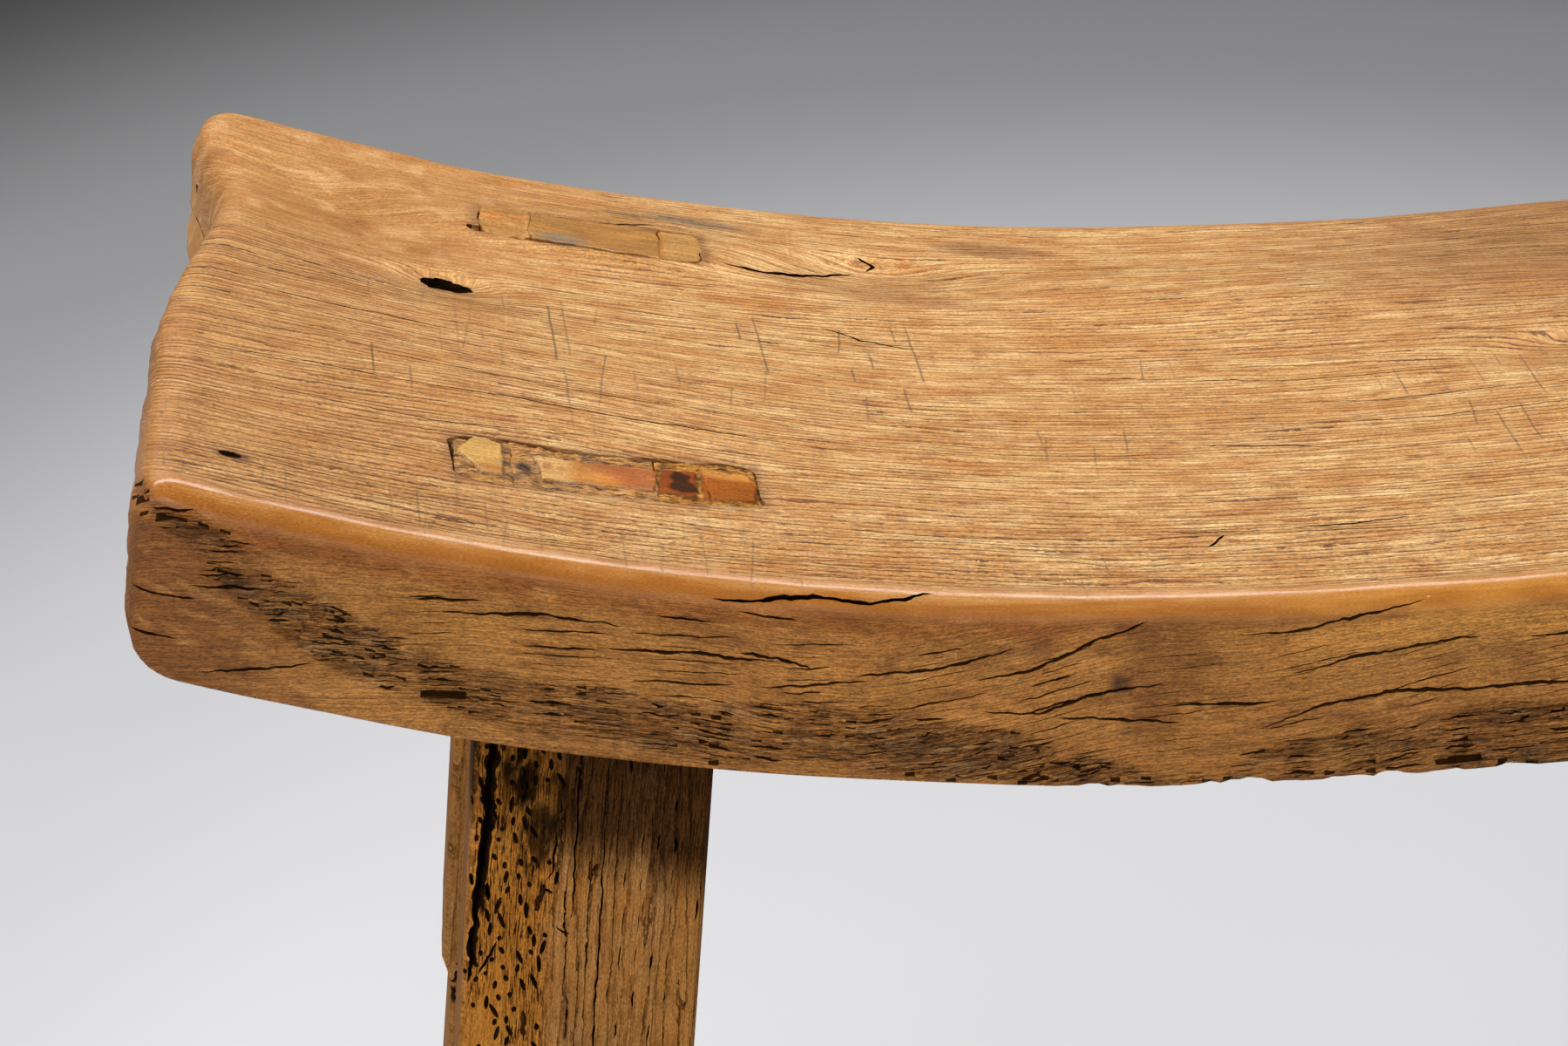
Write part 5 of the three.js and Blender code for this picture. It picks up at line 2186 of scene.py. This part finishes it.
@dataclass(frozen=True)
class Rail:
    """A rail between two legs, with a shouldered tenon through each."""

    name: str
    corners: tuple[Corner, Corner]
    axis: str
    level: float
    thickness: float = 24.0
    height: float = 34.0
    arris: float = 3.0
    tenon_thickness: float = 12.0
    tenon_height: float = 24.0

    def frame(self, seat: SeatPlank) -> Array:
        """The rail's frame, with Z from leg to leg and Y up its height.

        Args:
            seat: the plank.

        Returns:
            A matrix from the rail's frame to the stool's.
        """
        places = []
        for corner in self.corners:
            matrix = corner.leg_frame(seat)
            places.append(matrix[:3, 3] + matrix[:3, 2] * corner.height_at(seat, self.level))
        along = places[1] - places[0]
        along /= np.linalg.norm(along)
        lean = sum(corner.leg_frame(seat)[:3, 2] for corner in self.corners)
        height = lean - along * (lean @ along)
        height /= np.linalg.norm(height)
        matrix = np.eye(4)
        matrix[:3, 0], matrix[:3, 1], matrix[:3, 2] = np.cross(height, along), height, along
        matrix[:3, 3] = (places[0] + places[1]) / 2
        return matrix

    def mortise_tool(self, seat: SeatPlank) -> bpy.types.Object:
        """What cuts the holes for the rail's tenons.

        Args:
            seat: the plank.

        Returns:
            The cutting tool.
        """
        x = self.tenon_thickness / 2 + JOINT_GAP
        y = self.tenon_height / 2 + JOINT_GAP
        ring = np.array([(-x, -y), (x, -y), (x, y), (-x, y)])
        ends = [
            place(np.column_stack([ring, np.full(4, z)]), self.frame(seat)) for z in (-600.0, 600.0)
        ]
        return new_object("mortise", *prism(*ends))

    def face(self, seat: SeatPlank, leg: Leg, corner: Corner, outer: bool) -> tuple[Array, Array]:
        """A point on a leg's inner or outer face and the direction out of the stool.

        Args:
            seat: the plank.
            leg: the legs' shape.
            corner: where the leg stands.
            outer: the outer face and not the inner one.

        Returns:
            The point and the direction.
        """
        matrix = corner.leg_frame(seat)
        column = 0 if self.axis == "x" else 1
        way = corner.end if self.axis == "x" else corner.side
        half = (leg.width if self.axis == "x" else leg.depth) / 2
        reach = half - (corner.wear if self.axis == "x" else 0.0) if outer else -half - JOINT_GAP
        normal = matrix[:3, column] * way
        return matrix[:3, 3] + normal * reach, normal

    def build(self, shop: Workshop, seat: SeatPlank, leg: Leg) -> None:
        """Makes the rail and dresses it.

        Args:
            shop: finishes the pieces.
            seat: the plank.
            leg: the legs' shape.
        """
        matrix = self.frame(seat)
        body = rounded_loop(self.thickness, self.height, self.arris, (16, 22, 16, 22), 4)
        tenon = body * (self.tenon_thickness / self.thickness, self.tenon_height / self.height)

        def on_face(flat: Array, corner: Corner, outer: bool) -> Array:
            """Where lines along the rail meet a leg's face.

            Args:
                flat: places across the rail.
                corner: where the leg stands.
                outer: the outer face and not the inner one.

            Returns:
                An array of places on the face.
            """
            point, normal = self.face(seat, leg, corner, outer)
            start = place(np.column_stack([flat, np.zeros(len(flat))]), matrix)
            reach = ((point - start) @ normal) / (matrix[:3, 2] @ normal)
            return start + reach[:, None] * matrix[:3, 2]

        first, last = self.corners
        rings = [on_face(tenon * share, first, True) for share in (0.0, 0.5)]
        rings += [on_face(tenon, first, True), on_face(tenon, first, False)]
        a, b = on_face(body, first, False), on_face(body, last, False)
        rings += [a + (b - a) * step for step in np.linspace(0.0, 1.0, 70)]
        rings += [on_face(tenon, last, False)]
        rings += [on_face(tenon * share, last, True) for share in (1.0, 0.5, 0.0)]
        obj = loft(f"{self.name}_bar", np.array(rings))
        points, normals = points_of(obj), normals_of(obj)
        local = unplace(points, matrix)
        half = np.abs(local[:, 2]).max() - 62.0
        middle = 1.0 - smooth(half - 14.0, half, np.abs(local[:, 2]))
        seed = int(self.level) + len(self.name)
        hewn = 0.5 * (1.0 + noise(seed, local[:, 2] / 34, local[:, 0] / 15, local[:, 1] / 12))
        set_points(obj, points - normals * (hewn * middle)[:, None])
        x, y, z = local.T
        surface = Surface.plain(z, x + 0.8 * y + 1.2 * noise(seed + 3, z / 60, x / 12, y / 12))
        surface.warm = 0.5 * smooth(0.0, 0.8, layered(seed + 5, z / 40, y / 14))
        surface.polish = 0.45 * smooth(0.55, 1.0, y / (self.height / 2)) * middle
        surface.colour(0.35 * (1.0 - middle), 0x50361C)
        shop.finish(obj, surface, (Finish.RAIL,), "rail_elm", (self.name,), float(seed))


RAILS = (
    Rail("left_side_rail", (CORNERS[0], CORNERS[2]), "y", 178.0),
    Rail("right_side_rail", (CORNERS[1], CORNERS[3]), "y", 178.0),
    Rail("front_rail", (CORNERS[0], CORNERS[1]), "x", 120.0),
    Rail("rear_rail", (CORNERS[2], CORNERS[3]), "x", 120.0),
)


@dataclass(frozen=True)
class PegSet:
    """The pegs through the rail tenons, all made by one node tree."""

    head_radius: float = 3.2
    tip_radius: float = 2.7
    past_tenon: float = 8.0
    proud: float = 0.6
    sides: int = 14

    def places(self, seat: SeatPlank, leg: Leg) -> tuple[list, list, list]:
        """Where each peg's tip is, which way it points out, and how long it is.

        Args:
            seat: the plank.
            leg: the legs' shape.

        Returns:
            Three lists, with one value for each peg.
        """
        tips, ways, lengths = [], [], []
        for rail in RAILS:
            for corner in rail.corners:
                matrix = corner.leg_frame(seat)
                across = 1 if rail.axis == "x" else 0
                way = corner.side if across else corner.end
                face = leg.depth / 2 if across else leg.width / 2 - corner.wear
                out = matrix[:3, across] * way
                axis = matrix[:3, 3] + matrix[:3, 2] * corner.height_at(seat, rail.level)
                tips.append(axis - out * (rail.tenon_thickness / 2 + self.past_tenon))
                ways.append(out)
                lengths.append(face + rail.tenon_thickness / 2 + self.past_tenon + self.proud)
        return tips, ways, lengths

    def tree(self, material: bpy.types.Material) -> bpy.types.NodeTree:
        """The node tree that stands a whittled peg on each point.

        Args:
            material: of the pegs.

        Returns:
            The tree.
        """
        tree = node_group("whittled_pegs", ("Head Radius", "Tip Radius", "Facet Depth"), "Sides")
        given = add(tree, "NodeGroupInput").node.outputs
        links = {
            "Vertices": given["Sides"],
            "Side Segments": 12,
            "Fill Segments": 2,
            "Radius Top": given["Head Radius"],
            "Radius Bottom": given["Tip Radius"],
            "Depth": 1.0,
        }
        cone = add(tree, "GeometryNodeMeshCone", named=links, out="Mesh")
        way = add(tree, "GeometryNodeInputNamedAttribute", "way", data_type="FLOAT_VECTOR")
        reach = add(tree, "GeometryNodeInputNamedAttribute", "reach", data_type="FLOAT")
        turn = add(tree, "FunctionNodeAlignRotationToVector", named={"Vector": way}, axis="Z")
        size = add(tree, "ShaderNodeCombineXYZ", 1.0, 1.0, reach)
        links = {"Points": given["Geometry"], "Instance": cone, "Rotation": turn, "Scale": size}
        stand = add(tree, "GeometryNodeInstanceOnPoints", named=links)
        real = add(tree, "GeometryNodeRealizeInstances", stand)
        links = {"Scale": 260.0, "Detail": 1.0}
        wobble = add(tree, "ShaderNodeTexNoise", named=links, out="Color")
        centred = add(tree, VECTOR, wobble, (0.5, 0.5, 0.5), operation="SUBTRACT")
        small = add(tree, VECTOR, centred, named={"Scale": given["Facet Depth"]}, operation="SCALE")
        moved = add(tree, "GeometryNodeSetPosition", real, named={"Offset": small})
        dressed = add(tree, "GeometryNodeSetMaterial", moved, named={"Material": material})
        add(tree, "NodeGroupOutput", dressed)
        return tree

    def build(self, shop: Workshop, seat: SeatPlank, leg: Leg) -> None:
        """Makes all the pegs and dresses them.

        Args:
            shop: finishes the pieces.
            seat: the plank.
            leg: the legs' shape.
        """
        tips, ways, lengths = self.places(seat, leg)
        mesh = bpy.data.meshes.new("peg_places")
        mesh.from_pydata([tuple(tip * MM) for tip in tips], [], [])
        way, reach = np.array(ways, np.float32).ravel(), np.array(lengths, np.float32) * MM
        mesh.attributes.new("way", "FLOAT_VECTOR", "POINT").data.foreach_set("vector", way)
        mesh.attributes.new("reach", "FLOAT", "POINT").data.foreach_set("value", reach)
        obj = bpy.data.objects.new("rail_pegs", mesh)
        bpy.context.scene.collection.objects.link(obj)
        sizes = {
            "Head Radius": self.head_radius * MM,
            "Tip Radius": self.tip_radius * MM,
            "Facet Depth": 0.35 * MM,
            "Sides": self.sides,
        }
        evaluated(obj, self.tree(shop.materials[Finish.PEG]), sizes)
        x, y, z = points_of(obj).T
        nodes = tuple(f"peg_{c.name}_{rail.name}" for rail in RAILS for c in rail.corners)
        shop.finish(obj, Surface.plain(x + y, z), (Finish.PEG,), "peg_wood", nodes, 41.0)


# The studio


@dataclass(frozen=True)
class Studio:
    """A pale floor with a painted fall-off of light to grey, soft light from above and behind, and
    the camera.
    """

    camera_place: tuple = (-0.19243, -1.03108, 0.90304)
    camera_way: tuple = (0.06164, 0.90421, -0.42262)
    lens: float = 5000 * 36 / 1799
    # The floor's half size, how its tones are drawn out and moved, and what it throws back
    floor_half: float = 12.0
    floor_stretch: tuple = (1.6, 1.0, 1.0)
    floor_shift: tuple = (-0.33, 0.0, 0.0)
    floor_bounce: int = 0xC8C8CA
    # The floor's painted fall-off of light: its tones by how far they are from the stool in metres
    floor_painted_falloff: tuple = (
        (0.0, 0xD2D2D5), (0.60, 0xDADADC), (0.86, 0xD7D7D9), (1.19, 0xCBCBCD), (1.62, 0xA6A6A7),
        (2.2, 0x585858),
    )

    def build(self) -> None:
        """Makes the floor, the light and the camera."""
        scene = bpy.context.scene
        scene.view_settings.view_transform = "Standard"
        self.floor()
        self.world(scene)
        self.lamp("back_softbox", (-0.75, 1.15, 1.5), (1.0, 0.5), 4.0)
        self.lamp("top_softbox", (-0.1, 0.38, 1.62), (2.2, 0.17), 22.0)
        self.lamp("front_fill", (-0.7, -1.7, 1.3), (1.6, 1.4), 25.0)
        camera = bpy.data.cameras.new("camera")
        camera.lens, camera.sensor_width = self.lens, 36.0
        camera.clip_start, camera.clip_end = 0.05, 50.0
        holder = bpy.data.objects.new("camera", camera)
        holder.location = self.camera_place
        holder.rotation_euler = Vector(self.camera_way).to_track_quat("-Z", "Y").to_euler()
        scene.collection.objects.link(holder)
        scene.camera = holder

    def floor(self) -> None:
        """A wide floor whose painted tone goes from pale near the stool to grey far off, as a
        painted fall-off of light.
        """
        size = self.floor_half
        corners = [(-size, -size, 0), (size, -size, 0), (size, size, 0), (-size, size, 0)]
        mesh = bpy.data.meshes.new("studio_floor")
        mesh.from_pydata(corners, [], [(0, 1, 2, 3)])
        obj = bpy.data.objects.new("studio_floor", mesh)
        bpy.context.scene.collection.objects.link(obj)
        material = bpy.data.materials.new("studio_floor_painted_falloff")
        material.use_nodes = True
        tree = material.node_tree
        tree.nodes.clear()
        where = add(tree, "ShaderNodeTexCoord", out="Object")
        stretch = {"Scale": self.floor_stretch}
        flat = add(tree, "ShaderNodeMapping", where, self.floor_shift, named=stretch)
        far = add(tree, VECTOR, flat, operation="LENGTH", out="Value")
        reach = self.floor_painted_falloff[-1][0]
        ramp = add(tree, "ShaderNodeValToRGB", add(tree, MATH, far, reach, operation="DIVIDE"))
        ramp.node.color_ramp.interpolation = "EASE"
        elements = ramp.node.color_ramp.elements
        while len(elements) < len(self.floor_painted_falloff):
            elements.new(0.5)
        for element, (distance, tone) in zip(elements, self.floor_painted_falloff):
            element.position = distance / reach
            element.color = linear(tone)
        # The camera sees the painted fall-off of light; other rays see the plain pale floor.
        shown = add(tree, "ShaderNodeLightPath", out="Is Camera Ray")
        links = {6: linear(self.floor_bounce), 7: ramp}
        colour = add(tree, MIX, shown, named=links, data_type="RGBA", out=2)
        add(tree, "ShaderNodeOutputMaterial", add(tree, "ShaderNodeBsdfDiffuse", colour))
        mesh.materials.append(material)

    def world(self, scene: bpy.types.Scene) -> None:
        """An even soft light, with a grey seen behind the floor.

        Args:
            scene: gets the world.
        """
        world = bpy.data.worlds.new("studio")
        world.use_nodes = True
        tree = world.node_tree
        tree.nodes.clear()
        shown = add(tree, "ShaderNodeLightPath", out="Is Camera Ray")
        links = {6: (0.31, 0.31, 0.32, 1.0), 7: linear(0x6A6A6B)}
        colour = add(tree, MIX, shown, named=links, data_type="RGBA", out=2)
        add(tree, "ShaderNodeOutputWorld", add(tree, "ShaderNodeBackground", colour))
        scene.world = world

    def lamp(self, name: str, spot: tuple, size: tuple[float, float], power: float) -> None:
        """A soft rectangular lamp that faces the seat.

        Args:
            name: the lamp's.
            spot: its place in metres.
            size: its two sides in metres.
            power: in watts.
        """
        light = bpy.data.lights.new(name, "AREA")
        light.shape = "RECTANGLE"
        light.size, light.size_y = size
        light.energy = power
        holder = bpy.data.objects.new(name, light)
        holder.location = spot
        aim = Vector((-0.05, 0.0, 0.45)) - Vector(spot)
        holder.rotation_euler = aim.to_track_quat("-Z", "Y").to_euler()
        bpy.context.scene.collection.objects.link(holder)


def main() -> None:
    """Builds the stool and the studio round it."""
    logging.basicConfig(level=logging.INFO, format="%(name)s: %(message)s")
    Studio().build()
    shop = Workshop()
    seat, joint, leg = SeatPlank(), SeatJoint(), Leg()
    seat.build(shop, CORNERS, joint)
    for corner in CORNERS:
        leg.build(shop, seat, joint, corner, RAILS)
        joint.build(shop, seat, corner)
    for rail in RAILS:
        rail.build(shop, seat, leg)
    PegSet().build(shop, seat, leg)


if __name__ == "__main__":
    main()
